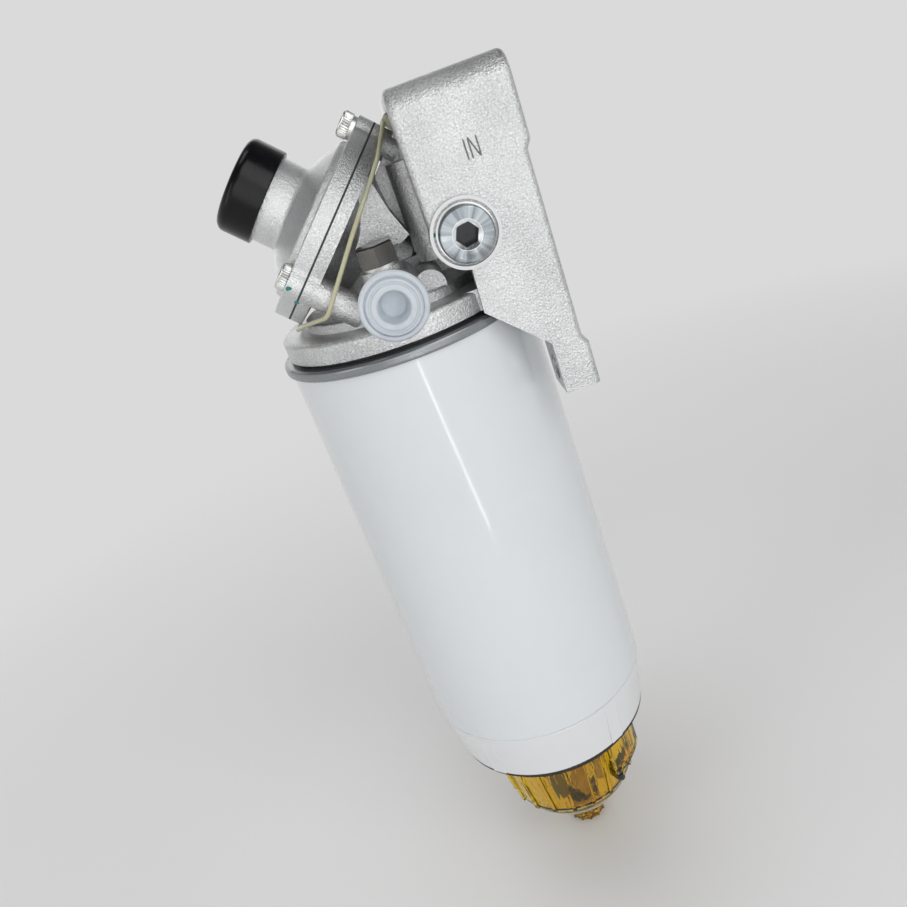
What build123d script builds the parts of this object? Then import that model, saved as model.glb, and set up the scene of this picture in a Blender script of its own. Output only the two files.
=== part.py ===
"""Spin-on fuel pre-filter: a cast head with its mounting bracket and hand primer pump, a screwed
canister with a pleated element, and a clear water bowl with a drain valve.

Millimetres, +Z up along the canister. The origin is the centre of the bracket's four bolt holes,
on the mounting face, and +X points out of that face, away from the canister.
Heights called "above the face" are measured from the head's sealing face, on which the canister's
gasket closes. Distances called "outward" are measured along the pump axis from the parting face.
"""
import os
from math import cos, pi, radians, sin

from build123d import *

os.makedirs("parts", exist_ok=True)

# Mounting face and bolt pattern of the bracket
bolt_span_y = 80.0
bolt_span_z = 99.0
bolt_hole_r = 5.25
pad_lift = 2.0
pad_slope = 3.0
pad_low_z = 36.5
tab_pad_top_z = -41.5

# Where the canister axis and the head's sealing face lie from the bolt pattern
can_x = -66.0
face_z = -17.0

# Bracket box: two cheeks, a roof and a mounting wall, open towards the pump
cheek_y = 50.0
cheek_t = 7.0
roof_z = 68.0
roof_t = 7.0
wall_t = 6.5
cheek_left_x = -45.0
cheek_low_x = -33.8
cheek_low_z = -16.6
tab_left_x = -14.2
tab_top_z = -37.0
tab_low_z = -bolt_span_z / 2 - 9.0
tab_depth = 21.0
tab_window_rise = 6.0
box_corner_r = 9.0
edge_r = 2.5

# Head disc, the turret above it and the hub round the nipple
disc_r = 52.5
disc_t = 8.5
disc_edge = 2.2
turret_r = 40.0
turret_t = 4.0
hub_r = 20.0
hub_top = 24.0
shelf_half_y = 43.0
can_clearance = 2.0
web_t = 9.0
web_top_z = 62.0
web_left_x = -36.0
web_hub_z = 31.0

# Ports that run across the head: the inlet higher and nearer the wall, the outlet over the hub
port_face_y = 52.5
port_bore_r = 7.35
inlet_x = -32.4
inlet_z = 13.9
inlet_boss_r = 13.2
inlet_tube_r = 11.0
outlet_z = -1.7
outlet_boss_r = 12.4
seat_bore_r = 11.9
seat_bore_depth = 2.6

# Cast lugs and the riser pipe beside the web
riser_x = -44.0
riser_y = -12.0
riser_r = 8.0
riser_low_z = 3.5
riser_top_z = 43.0
lug_x = -50.7
lug_z = -3.2
lug_r = 6.4
lug_near_y = -34.0
fin_near_y = 24.0

# Sealing plugs and transit caps of the ports
plug_flange_r = 10.3
plug_flange_t = 6.0
plug_chamfer = 0.9
plug_shank_r = 7.35
plug_shank_l = 13.0
plug_hex_af = 8.0
plug_hex_depth = 6.0
plug_washer_r = 10.9
plug_washer_t = 1.5
cap_flange_r = 13.4
cap_flange_t = 2.4
cap_step_r = 10.6
cap_step_t = 1.6
cap_sleeve_l = 14.0
cap_recess_r = 5.9
cap_recess_low_r = 4.9
cap_recess_depth = 8.0
cap_floor_t = 1.4

# Bleed screw on the outlet boss
bleed_y = -38.0
bleed_boss_r = 9.0
bleed_boss_top = 11.0
bleed_hex_af = 14.0
bleed_hex_h = 8.0
bleed_shank_r = 5.0
bleed_shank_l = 4.0
bleed_jet_r = 2.0
bleed_washer_r = 7.4
bleed_washer_t = 1.0
thread_gap = 0.05

# Primer pump: its axis leans away from the wall in the plane of symmetry
pump_x = -82.2
pump_z = 27.05
pump_lean = 44.3
flange_r = 41.0
screw_count = 3
screw_pitch_r = 39.5
pump_lug_r = 6.2
pump_lug_round = 3.0
top_lug_l = 12.0
low_lug_l = 24.0
body_flange_t = 4.8
cover_flange_t = 6.2
pump_gasket_t = 0.8
recess_r = 26.0
recess_l = 3.5
piston_bore_r = 14.0
piston_bore_l = 21.0
valve_r = 2.5
dome_r = 33.6
dome_foot_r = 34.3
dome_edge_s = 9.4
dome_top_s = 17.0
neck_r = 17.7
neck_end_s = 29.0
neck_bore_r = 13.5
floor_end_s = 5.0
pocket_in_r = 17.0
pocket_out_r = 29.5
pocket_high_s = 13.0
pocket_low_s = 7.0
rod_r = 4.0
screw_r = 3.0
screw_hole_r = 3.3
screw_l = 16.0
screw_head_r = 5.0
screw_head_h = 6.0
screw_hex_af = 5.0
screw_hex_depth = 3.0
spot_r = 6.0
low_spot_depth = 2.4

# Knob, piston and return spring of the primer
knob_r = 19.6
knob_in_r = 18.0
knob_rim_s = 27.0
knob_cap_s = 39.5
knob_end_s = 42.0
knob_round = 3.6
knob_hub_r = 7.0
knob_hub_s = 34.0
piston_r = 13.7
piston_t = 7.0
piston_rest = 3.0
ring_groove_t = 2.6
ring_groove_in_r = 11.7
ring_gap = 0.05
spring_wire_r = 0.9
spring_r = 9.6
spring_turns = 6

# Tie strap drawn round the pump behind its flange, with its locking head at the top
strap_r = 0.9
strap_bend_r = 5.0
strap_half = [
    (46.9, 4.0, -2.6),
    (35.0, 24.0, -5.6),
    (6.0, 43.6, -8.2),
    (-25.5, 41.6, -12.2),
    (-36.5, 24.0, -6.0),
    (-43.0, 8.0, -4.6),
]
strap_head_l = 6.0
strap_head_w = 4.0
strap_head_t = 5.0

# Threaded nipple of the head
nipple_r = 15.0
nipple_bore_r = 10.0
nipple_socket = 12.0
nipple_thread_low = -24.0
nipple_low = -36.0
nipple_plain_r = 13.0
chamber_in_r = 22.0
chamber_out_r = 40.0
chamber_depth = 4.0

# Canister: seam ring with the gasket channel, nut plate and shell, as heights above the face
can_r = 54.0
can_wall = 1.0
gasket_w = 7.0
gasket_gap = 0.4
gasket_out_r = can_r - 4.0
gasket_in_r = gasket_out_r - gasket_w
channel_out_r = gasket_out_r + gasket_gap
channel_in_r = gasket_in_r - gasket_gap
channel_floor = -4.6
channel_lip = -3.0
ring_out_r = can_r + 2.0
ring_in_r = channel_in_r - 1.0
ring_top = -1.6
ring_low = -6.0
nut_plate_r = can_r - 2.0
nut_plate_low = -11.0
nut_thread_low = -18.0
nut_collar_low = -31.0
nut_collar_r = 20.0
nut_relief_r = 16.5
inlet_hole_r = 3.5
inlet_hole_pitch_r = 31.0
inlet_hole_count = 8
can_low = -196.5
can_floor_t = 1.2
can_floor_r = can_r - 18.0

# Skirt under the canister, which carries the bowl's thread
skirt_low = -223.2
skirt_taper = 4.2
skirt_land_w = 6.5
skirt_low_r = can_r - skirt_taper
bowl_thread_r = skirt_low_r - skirt_land_w
skirt_web_t = 6.0
skirt_drop_r = 20.0
skirt_rib_count = 5
skirt_rib_w = 7.0
skirt_rib_lift = 1.3
skirt_rib_phase = 14.0

# Filter element between its end caps
cap_plate_r = can_r - 6.4
element_r = cap_plate_r - 1.1
element_core_r = 24.0
pleat_count = 32
pleat_thickness = 3.5
pleat_depth = element_r - element_core_r - pleat_thickness
cap_plate_t = 2.0
media_low = -183.0
tube_r = 19.5
tube_bore_r = 18.0
window_rows = 7
window_columns = 6
window_w = 9.0
window_h = 14.0
window_pitch = 20.0
grommet_r = 17.0
grommet_flange_r = 17.8
grommet_low = -36.0
spring_in_r = 22.0
spring_high_r = 30.0
spring_low_r = can_r - 11.0
spring_out_r = can_r - 4.0
spring_plate_t = 1.0

# Clear bowl with its gasket, ribs and the lobe of the sensor port
bowl_thread_l = 13.0
bowl_gasket_t = 1.4
bowl_gasket_in_r = bowl_thread_r + 0.3
bowl_gasket_out_r = skirt_low_r - 0.3
bowl_flange_r = bowl_thread_r + 3.2
bowl_flange_t = 3.6
bowl_top_r = 38.6
bowl_low_r = 33.2
bowl_body_low = -267.0
bowl_dish_h = 17.6
bowl_wall = 3.0
bowl_rib_count = 20
bowl_rib_w = 2.0
bowl_rib_lift = 1.2
bowl_rib_phase = 9.0
lobe_r = bowl_low_r + 7.6
lobe_low = -255.0
lobe_start = -59.0
lobe_span = 38.0
lobe_wall_turn = 4.0
lobe_plug_offset = bowl_low_r + 4.7
lobe_plug_angle = -54.0
lobe_plug_r = 1.9
lobe_plug_head_r = 2.4
lobe_plug_head_h = 2.6
lobe_plug_slot_w = 0.9
drain_boss_r = 10.5
drain_boss_low = -289.0

# Drain valve
drain_shank_r = 5.0
drain_shank_l = 8.0
drain_ring_r = 8.4
drain_ring_t = 1.6
drain_knob_r = 9.3
drain_knob_h = 11.5
drain_pipe_r = 3.4
drain_pipe_l = 3.0
drain_pipe_bore_r = 1.8
drain_grip_count = 12
drain_grip_r = 0.8

# Water baffle that hangs from the skirt into the bowl
baffle_in_r = 14.5
baffle_out_r = 30.0
baffle_t = 2.0
baffle_leg_r = 16.0
baffle_leg_w = 6.8
baffle_leg_t = 2.2
baffle_leg_low = -276.0
baffle_tip_l = 5.0
baffle_leg_count = 8
baffle_leg_phase = 10.0

can_axis = Axis((can_x, 0, 0), (0, 0, 1))
can_section = Plane(origin=(can_x, 0, face_z), x_dir=(1, 0, 0), z_dir=(0, -1, 0))
side_plane = Plane(origin=(0, 0, 0), x_dir=(1, 0, 0), z_dir=(0, -1, 0))
lean = radians(pump_lean)
pump_out = Vector(-sin(lean), 0, cos(lean))
pump_up = Vector(cos(lean), 0, sin(lean))
pump_origin = Vector(pump_x, 0, pump_z)
pump_axis = Axis(pump_origin, pump_out)
pump_section = Plane(origin=pump_origin, x_dir=pump_up, z_dir=(0, -1, 0))
bowl_top = skirt_low - bowl_gasket_t
bowl_flange_low = bowl_top - bowl_flange_t
cap_plate_top = nut_collar_low
media_top = cap_plate_top - cap_plate_t
element_low = media_low - cap_plate_t
can_floor = can_low + can_floor_t


def level(height):
    """Horizontal plane centred on the canister axis, at a height above the sealing face."""
    return Plane(origin=(can_x, 0, face_z + height))


def can_radial(angle):
    """Upright plane through the canister axis: x is the radius at an angle, y the height."""
    turn = radians(angle)
    return Plane(origin=can_section.origin, x_dir=(cos(turn), sin(turn), 0), z_dir=(sin(turn), -cos(turn), 0))


def pump_level(distance):
    """Plane across the pump axis at a distance outward, its y pointing up the flange."""
    return Plane(origin=pump_origin + pump_out * distance, x_dir=(0, -1, 0), z_dir=pump_out)


def pump_point(up, y, distance):
    """Point given by its place up the flange, across it, and outward along the pump axis."""
    return pump_origin + pump_up * up + pump_out * distance + Vector(0, y, 0)


def port_plane(x, z, y):
    """Plane across a port, facing the front at y, with the port's axis at x and z."""
    return Plane(origin=(x, y, z), x_dir=(1, 0, 0), z_dir=(0, -1, 0))


def port_section(x, z, side):
    """Plane along a port's axis: x is the radius and y the distance out of the port face."""
    return Plane(origin=(x, side * port_face_y, z), x_dir=(1, 0, 0), z_dir=(0, 0, side))


def port_axis(x, z):
    """Axis of a port that runs across the head."""
    return Axis((x, 0, z), (0, 1, 0))


def save(part, name):
    """Labels a finished piece and writes its file."""
    part.label = name
    export_step(part, f"parts/{name}.step")


# Flare from the pump flange down to the hub, and the fin beside it, as places from the pump axis
flare_profile = [
    (0, -body_flange_t),
    (30.5, -body_flange_t),
    (24.0, -12.0),
    (18.5, -19.5),
    (15.0, -28.0),
    (14.0, -34.0),
    (0, -34.0),
]
fin_profile = [
    (27.0, -body_flange_t),
    (19.0, -18.0),
    (14.5, -28.5),
    (10.0, -27.0),
    (0, -12.0),
    (-6.0, -body_flange_t),
]

# Pump flange outline: a round face with three screw lugs
with BuildSketch() as flange_outline:
    Circle(flange_r)
    with PolarLocations(screw_pitch_r, screw_count, start_angle=90):
        Circle(pump_lug_r)
    fillet(flange_outline.vertices(), radius=pump_lug_round)

# Head casting: disc, turret, hub, pump body, bracket box and ports in one piece
cheek_outline = [
    (cheek_left_x, roof_z),
    (0, roof_z),
    (0, pad_low_z),
    (-pad_lift, pad_low_z - pad_slope),
    (-pad_lift, tab_pad_top_z + pad_slope),
    (0, tab_pad_top_z),
    (0, tab_low_z),
    (tab_left_x, tab_low_z),
    (tab_left_x, tab_top_z),
    (cheek_low_x - 1.3, cheek_low_z),
    (cheek_low_x, inlet_z),
    (cheek_left_x, inlet_z),
]
with BuildPart() as head_casting:
    # Bracket box as a solid of the cheek's outline, rounded along the roof and the open side
    with BuildSketch(side_plane.offset(-cheek_y)):
        with BuildLine():
            Polyline(*cheek_outline, close=True)
        make_face()
    extrude(amount=2 * cheek_y)
    roof_edges = head_casting.edges().filter_by(Axis.X).group_by(Axis.Z)[-1]
    fillet(roof_edges, radius=box_corner_r)
    wall_edges = head_casting.edges().filter_by(Plane.XZ).filter_by(
        lambda e: e.center().X > -pad_lift - 0.1 and e.center().Z < roof_z - box_corner_r)
    fillet(wall_edges, radius=edge_r)
    left_face = head_casting.faces().filter_by(Axis.X).sort_by(Axis.X)[0]
    left_edges = left_face.edges().filter_by(lambda e: e.center().Z > inlet_z + 0.1)
    fillet(left_edges, radius=edge_r)
    # Hollow of the box, open towards the pump and above the shelf
    hollow_low = face_z + disc_t
    hollow_high = roof_z - roof_t
    hollow_right = -wall_t - pad_lift
    with BuildSketch(side_plane.offset(-(cheek_y - cheek_t))):
        with Locations((hollow_right, hollow_low)):
            Rectangle(
                hollow_right - cheek_left_x + 1, hollow_high - hollow_low, align=(Align.MAX, Align.MIN))
    extrude(amount=2 * (cheek_y - cheek_t), mode=Mode.SUBTRACT)
    # Space between the tabs
    window_half = cheek_y - tab_depth
    with BuildSketch(Plane.YZ):
        with Locations((0, tab_top_z + tab_window_rise)):
            Rectangle(
                2 * window_half, tab_top_z + tab_window_rise - tab_low_z + 1, align=(Align.CENTER, Align.MAX))
    extrude(amount=cheek_low_x, mode=Mode.SUBTRACT)
    # Shelf between the cheeks, then the disc, turret and hub turned round the canister axis
    with BuildSketch(Plane.XY.offset(face_z)):
        with Locations((-pad_lift, 0)):
            Rectangle(-can_x - pad_lift, 2 * shelf_half_y, align=(Align.MAX, Align.CENTER))
    extrude(amount=disc_t)
    with BuildSketch(can_section) as disc_section:
        with BuildLine():
            Polyline(
                (0, 0),
                (disc_r, 0),
                (disc_r, disc_t),
                (turret_r + 0.6, disc_t),
                (turret_r, disc_t + turret_t),
                (hub_r, disc_t + turret_t),
                (hub_r, hub_top),
                (0, hub_top),
                close=True,
            )
        make_face()
        disc_rim = disc_section.vertices().filter_by(lambda v: v.X > disc_r - 1 and v.Y > 1)
        fillet(disc_rim, radius=disc_edge)
        turret_rim = disc_section.vertices().filter_by(lambda v: turret_r - 1 < v.X < turret_r + 0.3)
        fillet(turret_rim, radius=1.2)
    revolve(axis=can_axis)
    # Web from the hub to the roof and the wall
    with BuildSketch(side_plane):
        with BuildLine():
            Polyline(
                (can_x, hollow_low - 1),
                (hollow_right + 1, hollow_low - 1),
                (hollow_right + 1, web_top_z),
                (web_left_x, web_top_z),
                (can_x, web_hub_z),
                close=True,
            )
        make_face()
    extrude(amount=web_t / 2, both=True)
    # Riser pipe beside the web, its rounded foot, and the lug that stands on the shelf
    with BuildSketch(Plane(origin=(riser_x, riser_y, riser_low_z))):
        Circle(riser_r)
    extrude(amount=riser_top_z - riser_low_z)
    with BuildSketch(port_plane(lug_x, lug_z, lug_near_y)):
        Circle(lug_r)
    extrude(amount=lug_near_y)
    # Pump body flange, its flare down to the hub, and the fins at its sides
    with BuildSketch(pump_level(0)):
        add(flange_outline.sketch)
    extrude(amount=-body_flange_t)
    with BuildSketch(pump_section):
        with BuildLine():
            Polyline(*flare_profile, close=True)
        make_face()
    revolve(axis=pump_axis)
    with BuildSketch(pump_section):
        with BuildLine():
            Polyline(*fin_profile, close=True)
        make_face()
    extrude(amount=fin_near_y, both=True)
    # Screw lugs behind the body flange: a short one at the top, two long ones down to the turret
    for index, length in enumerate((top_lug_l, low_lug_l, low_lug_l)):
        with BuildSketch(pump_level(-1)):
            with PolarLocations(screw_pitch_r, 1, start_angle=90 + 120 * index):
                Circle(pump_lug_r)
        extrude(amount=-(length - 1))
    # Ports and the bleed boss
    with BuildSketch(port_plane(inlet_x, inlet_z, port_face_y)):
        Circle(inlet_tube_r)
    extrude(amount=2 * port_face_y)
    for side in (-1, 1):
        with BuildSketch(port_plane(inlet_x, inlet_z, side * port_face_y)):
            Circle(inlet_boss_r)
        extrude(amount=side * (port_face_y - cheek_y + cheek_t + 1))
    with BuildSketch(port_plane(can_x, outlet_z, port_face_y)):
        Circle(outlet_boss_r)
    extrude(amount=2 * port_face_y)
    with BuildSketch(Plane(origin=(can_x, bleed_y, outlet_z))):
        Circle(bleed_boss_r)
    extrude(amount=bleed_boss_top - outlet_z)
    # Room for the canister below the sealing face
    with BuildSketch(level(0)):
        Circle(ring_out_r + can_clearance)
    extrude(amount=-80, mode=Mode.SUBTRACT)
    # Valve recess, piston bore and the passages from it to the outlet and the inlet
    with BuildSketch(pump_level(0)):
        Circle(recess_r)
    extrude(amount=-recess_l, mode=Mode.SUBTRACT)
    with BuildSketch(pump_level(0)):
        Circle(piston_bore_r)
    extrude(amount=-piston_bore_l, mode=Mode.SUBTRACT)
    with BuildSketch(pump_level(-piston_bore_l)):
        with Locations((0, -8.5)):
            Circle(valve_r)
    extrude(amount=-11, mode=Mode.SUBTRACT)
    suction_start = pump_point(8, 0, -19)
    with BuildSketch(Plane(origin=suction_start, z_dir=Vector(inlet_x, 0, inlet_z) - suction_start)):
        Circle(valve_r)
    extrude(amount=30, mode=Mode.SUBTRACT)
    # Port bores, plug seats and the passage from the inlet to the ring chamber
    for x, z in ((inlet_x, inlet_z), (can_x, outlet_z)):
        with BuildSketch(port_plane(x, z, port_face_y)):
            Circle(port_bore_r)
        extrude(amount=2 * port_face_y, mode=Mode.SUBTRACT)
    with BuildSketch(port_plane(inlet_x, inlet_z, -port_face_y)):
        Circle(seat_bore_r)
    extrude(amount=-seat_bore_depth, mode=Mode.SUBTRACT)
    with BuildSketch(Plane(origin=(inlet_x - 2, 0, face_z))):
        Circle(valve_r)
    extrude(amount=inlet_z - face_z, mode=Mode.SUBTRACT)
    # Nipple socket, ring chamber, bleed bore, screw holes and bolt holes
    with BuildSketch(level(0)):
        Circle(nipple_r)
    extrude(amount=nipple_socket, mode=Mode.SUBTRACT)
    with BuildSketch(level(0)):
        Circle(nipple_bore_r)
    extrude(amount=outlet_z - face_z, mode=Mode.SUBTRACT)
    with BuildSketch(level(0)):
        Circle(chamber_out_r)
        Circle(chamber_in_r, mode=Mode.SUBTRACT)
    extrude(amount=chamber_depth, mode=Mode.SUBTRACT)
    bleed_seat_z = bleed_boss_top - bleed_shank_l - 0.3
    with BuildSketch(Plane(origin=(can_x, bleed_y, bleed_boss_top))):
        Circle(bleed_shank_r + thread_gap)
    extrude(amount=bleed_seat_z - bleed_boss_top, mode=Mode.SUBTRACT)
    with BuildSketch(Plane(origin=(can_x, bleed_y, bleed_boss_top))):
        Circle(bleed_jet_r)
    extrude(amount=outlet_z - bleed_boss_top, mode=Mode.SUBTRACT)
    with BuildSketch(pump_level(0)):
        with PolarLocations(screw_pitch_r, screw_count, start_angle=90):
            Circle(screw_r)
    extrude(amount=-(screw_l - cover_flange_t + 1), mode=Mode.SUBTRACT)
    with BuildSketch(pump_level(0)):
        with PolarLocations(screw_pitch_r, 2, start_angle=210, angular_range=120, endpoint=True):
            Circle(screw_r)
    extrude(amount=-(screw_l - cover_flange_t + low_spot_depth), mode=Mode.SUBTRACT)
    with BuildSketch(Plane.YZ):
        with GridLocations(bolt_span_y, bolt_span_z, 2, 2):
            Circle(bolt_hole_r)
    extrude(amount=tab_left_x - 1, mode=Mode.SUBTRACT)
save(head_casting.part, "head_casting")

# Threaded nipple in the head
with BuildPart() as threaded_nipple:
    with BuildSketch(can_section):
        with BuildLine():
            Polyline(
                (nipple_bore_r, nipple_socket),
                (nipple_r, nipple_socket),
                (nipple_r, nipple_thread_low + 1),
                (nipple_r - 1, nipple_thread_low),
                (nipple_plain_r, nipple_thread_low),
                (nipple_plain_r, nipple_low + 1),
                (nipple_plain_r - 1, nipple_low),
                (nipple_bore_r, nipple_low),
                close=True,
            )
        make_face()
    revolve(axis=can_axis)
save(threaded_nipple.part, "threaded_nipple")

# Sealing plugs: the front inlet in its recess and the rear outlet on its face
plug_places = [(inlet_x, inlet_z, -1, -seat_bore_depth), (can_x, outlet_z, 1, 0.0)]
with BuildPart() as port_plugs:
    for x, z, side, seat in plug_places:
        plug_foot = seat + plug_washer_t
        plug_face = plug_foot + plug_flange_t
        with BuildSketch(port_section(x, z, side)):
            with BuildLine():
                Polyline(
                    (0, plug_foot - plug_shank_l),
                    (plug_shank_r - 1, plug_foot - plug_shank_l),
                    (plug_shank_r, plug_foot - plug_shank_l + 1),
                    (plug_shank_r, plug_foot),
                    (plug_flange_r, plug_foot),
                    (plug_flange_r, plug_face - plug_chamfer),
                    (plug_flange_r - plug_chamfer, plug_face),
                    (0, plug_face),
                    close=True,
                )
            make_face()
        revolve(axis=port_axis(x, z))
        with BuildSketch(port_plane(x, z, side * (port_face_y + plug_face))):
            RegularPolygon(plug_hex_af / 2, 6, major_radius=False)
        extrude(amount=side * plug_hex_depth, mode=Mode.SUBTRACT)
save(port_plugs.part, "port_plugs")

# Sealing washers under the plugs
with BuildPart() as plug_washers:
    for x, z, side, seat in plug_places:
        with BuildSketch(port_plane(x, z, side * (port_face_y + seat))):
            Circle(plug_washer_r)
            Circle(plug_shank_r, mode=Mode.SUBTRACT)
        extrude(amount=-side * plug_washer_t)
save(plug_washers.part, "plug_washers")

# Transit caps: the front outlet and the rear inlet
with BuildPart() as transit_caps:
    for x, z, side in ((can_x, outlet_z, -1), (inlet_x, inlet_z, 1)):
        cap_face = cap_flange_t + cap_step_t
        recess_floor = cap_face - cap_recess_depth
        with BuildSketch(port_section(x, z, side)) as cap_section:
            with BuildLine():
                Polyline(
                    (0, recess_floor - cap_floor_t),
                    (cap_recess_low_r, recess_floor - cap_floor_t),
                    (cap_recess_r, -cap_sleeve_l),
                    (port_bore_r - 0.8, -cap_sleeve_l),
                    (port_bore_r, 0),
                    (cap_flange_r, 0),
                    (cap_flange_r, cap_flange_t),
                    (cap_step_r, cap_flange_t),
                    (cap_step_r, cap_face),
                    (cap_recess_r, cap_face),
                    (cap_recess_low_r, recess_floor),
                    (0, recess_floor),
                    close=True,
                )
            make_face()
            flange_rim = cap_section.vertices().filter_by(lambda v: v.X > cap_flange_r - 0.1 and v.Y > 1)
            fillet(flange_rim, radius=0.8)
            step_rims = cap_section.vertices().filter_by(lambda v: v.Y > cap_face - 0.1)
            fillet(step_rims, radius=0.5)
        revolve(axis=port_axis(x, z))
save(transit_caps.part, "transit_caps")

# Bleed screw and its sealing washer
bleed_foot_z = bleed_boss_top + bleed_washer_t
with BuildPart() as bleed_screw:
    with BuildSketch(Plane(origin=(can_x, bleed_y, bleed_foot_z))):
        RegularPolygon(bleed_hex_af / 2, 6, major_radius=False, rotation=30)
    extrude(amount=bleed_hex_h)
    chamfer(bleed_screw.faces().sort_by(Axis.Z)[-1].edges(), length=0.6)
    with BuildSketch(Plane(origin=(can_x, bleed_y, bleed_foot_z))):
        Circle(bleed_shank_r)
    extrude(amount=-(bleed_washer_t + bleed_shank_l))
save(bleed_screw.part, "bleed_screw")

with BuildPart() as bleed_washer:
    with BuildSketch(Plane(origin=(can_x, bleed_y, bleed_boss_top))):
        Circle(bleed_washer_r)
        Circle(bleed_shank_r + thread_gap, mode=Mode.SUBTRACT)
    extrude(amount=bleed_washer_t)
save(bleed_washer.part, "bleed_washer")

# Pump gasket on the parting face
with BuildPart() as pump_gasket:
    with BuildSketch(pump_level(0)):
        add(flange_outline.sketch)
        Circle(recess_r, mode=Mode.SUBTRACT)
        with PolarLocations(screw_pitch_r, screw_count, start_angle=90):
            Circle(screw_hole_r, mode=Mode.SUBTRACT)
    extrude(amount=pump_gasket_t)
save(pump_gasket.part, "pump_gasket")

# Pump cover: flange, dome, neck, floor with the rod guide, and the hollow under the dome
flange_face_s = pump_gasket_t + cover_flange_t
with BuildPart() as pump_cover:
    with BuildSketch(pump_level(pump_gasket_t)):
        add(flange_outline.sketch)
    extrude(amount=cover_flange_t)
    cover_face = pump_cover.faces().filter_by(
        lambda f: abs((f.center() - pump_point(0, 0, flange_face_s)).dot(pump_out)) < 0.1)
    fillet(cover_face.edges(), radius=0.7)
    with BuildSketch(pump_section) as dome_section:
        with BuildLine():
            Polyline(
                (0, pump_gasket_t),
                (dome_foot_r, pump_gasket_t),
                (dome_foot_r, flange_face_s),
                (dome_r, dome_edge_s),
                (neck_r, dome_top_s),
                (neck_r, neck_end_s),
                (0, neck_end_s),
                close=True,
            )
        make_face()
        fillet(dome_section.vertices().filter_by(lambda v: abs(v.Y - dome_edge_s) < 0.1), radius=1.8)
        fillet(dome_section.vertices().filter_by(lambda v: abs(v.Y - dome_top_s) < 0.1), radius=2.4)
    revolve(axis=pump_axis)
    with BuildSketch(pump_section):
        with BuildLine():
            Polyline(
                (pocket_in_r, pump_gasket_t),
                (pocket_in_r, pocket_high_s),
                (pocket_out_r, pocket_low_s),
                (pocket_out_r, pump_gasket_t),
                close=True,
            )
        make_face()
    revolve(axis=pump_axis, mode=Mode.SUBTRACT)
    with BuildSketch(pump_level(floor_end_s)):
        Circle(neck_bore_r)
    extrude(amount=neck_end_s - floor_end_s, mode=Mode.SUBTRACT)
    with BuildSketch(pump_level(pump_gasket_t)):
        Circle(rod_r + thread_gap)
    extrude(amount=floor_end_s, mode=Mode.SUBTRACT)
    with BuildSketch(pump_level(pump_gasket_t)):
        with PolarLocations(screw_pitch_r, screw_count, start_angle=90):
            Circle(screw_hole_r)
    extrude(amount=cover_flange_t, mode=Mode.SUBTRACT)
    with BuildSketch(pump_level(flange_face_s - low_spot_depth)):
        with PolarLocations(screw_pitch_r, 2, start_angle=210, angular_range=120, endpoint=True):
            Circle(spot_r)
    extrude(amount=low_spot_depth + 2, mode=Mode.SUBTRACT)
save(pump_cover.part, "pump_cover")

# Cap screws of the pump: the top one on the flange, the low ones on their spot faces
low_seat_s = flange_face_s - low_spot_depth
with BuildPart() as pump_screws:
    for angle, seat_s in ((90, flange_face_s), (210, low_seat_s), (330, low_seat_s)):
        with BuildSketch(pump_level(seat_s)):
            with PolarLocations(screw_pitch_r, 1, start_angle=angle):
                Circle(screw_head_r)
        extrude(amount=screw_head_h)
        with BuildSketch(pump_level(seat_s)):
            with PolarLocations(screw_pitch_r, 1, start_angle=angle):
                Circle(screw_r)
        extrude(amount=-screw_l)
        with BuildSketch(pump_level(seat_s + screw_head_h)):
            with PolarLocations(screw_pitch_r, 1, start_angle=angle):
                RegularPolygon(screw_hex_af / 2, 6, major_radius=False)
        extrude(amount=-screw_hex_depth, mode=Mode.SUBTRACT)
    head_circles = pump_screws.edges().filter_by(GeomType.CIRCLE).filter_by(
        lambda e: abs(e.radius - screw_head_r) < 0.01)
    screw_rims = head_circles.filter_by(
        lambda e: (e.center() - pump_origin).dot(pump_out) > flange_face_s + 2)
    fillet(screw_rims, radius=0.6)
save(pump_screws.part, "pump_screws")

# Knob of the primer, a cap over the neck with a hub for the rod
with BuildPart() as pump_knob:
    with BuildSketch(pump_section) as knob_section:
        with BuildLine():
            Polyline(
                (0, knob_end_s),
                (knob_r, knob_end_s),
                (knob_r, knob_rim_s),
                (knob_in_r, knob_rim_s),
                (knob_in_r, knob_cap_s),
                (knob_hub_r, knob_cap_s),
                (knob_hub_r, knob_hub_s),
                (rod_r, knob_hub_s),
                (rod_r, knob_cap_s),
                (0, knob_cap_s),
                close=True,
            )
        make_face()
        knob_side = knob_section.vertices().filter_by(lambda v: v.X > knob_r - 0.1)
        fillet(knob_side.filter_by(lambda v: v.Y > knob_cap_s), radius=knob_round)
        knob_foot = knob_section.vertices().filter_by(lambda v: v.X > knob_r - 0.1 and v.Y < knob_hub_s)
        fillet(knob_foot, radius=0.5)
    revolve(axis=pump_axis)
save(pump_knob.part, "pump_knob")

# Rod and piston in one piece, with the groove of the piston ring
groove_high = -piston_rest - (piston_t - ring_groove_t) / 2
groove_low = groove_high - ring_groove_t
with BuildPart() as pump_piston:
    with BuildSketch(pump_section):
        with BuildLine():
            Polyline(
                (0, knob_cap_s),
                (rod_r, knob_cap_s),
                (rod_r, -piston_rest),
                (piston_r, -piston_rest),
                (piston_r, groove_high),
                (ring_groove_in_r, groove_high),
                (ring_groove_in_r, groove_low),
                (piston_r, groove_low),
                (piston_r, -piston_rest - piston_t),
                (0, -piston_rest - piston_t),
                close=True,
            )
        make_face()
    revolve(axis=pump_axis)
save(pump_piston.part, "pump_piston")

with BuildPart() as piston_ring:
    with BuildSketch(pump_level(groove_low)):
        Circle(piston_bore_r - ring_gap)
        Circle(ring_groove_in_r, mode=Mode.SUBTRACT)
    extrude(amount=ring_groove_t)
save(piston_ring.part, "piston_ring")

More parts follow.
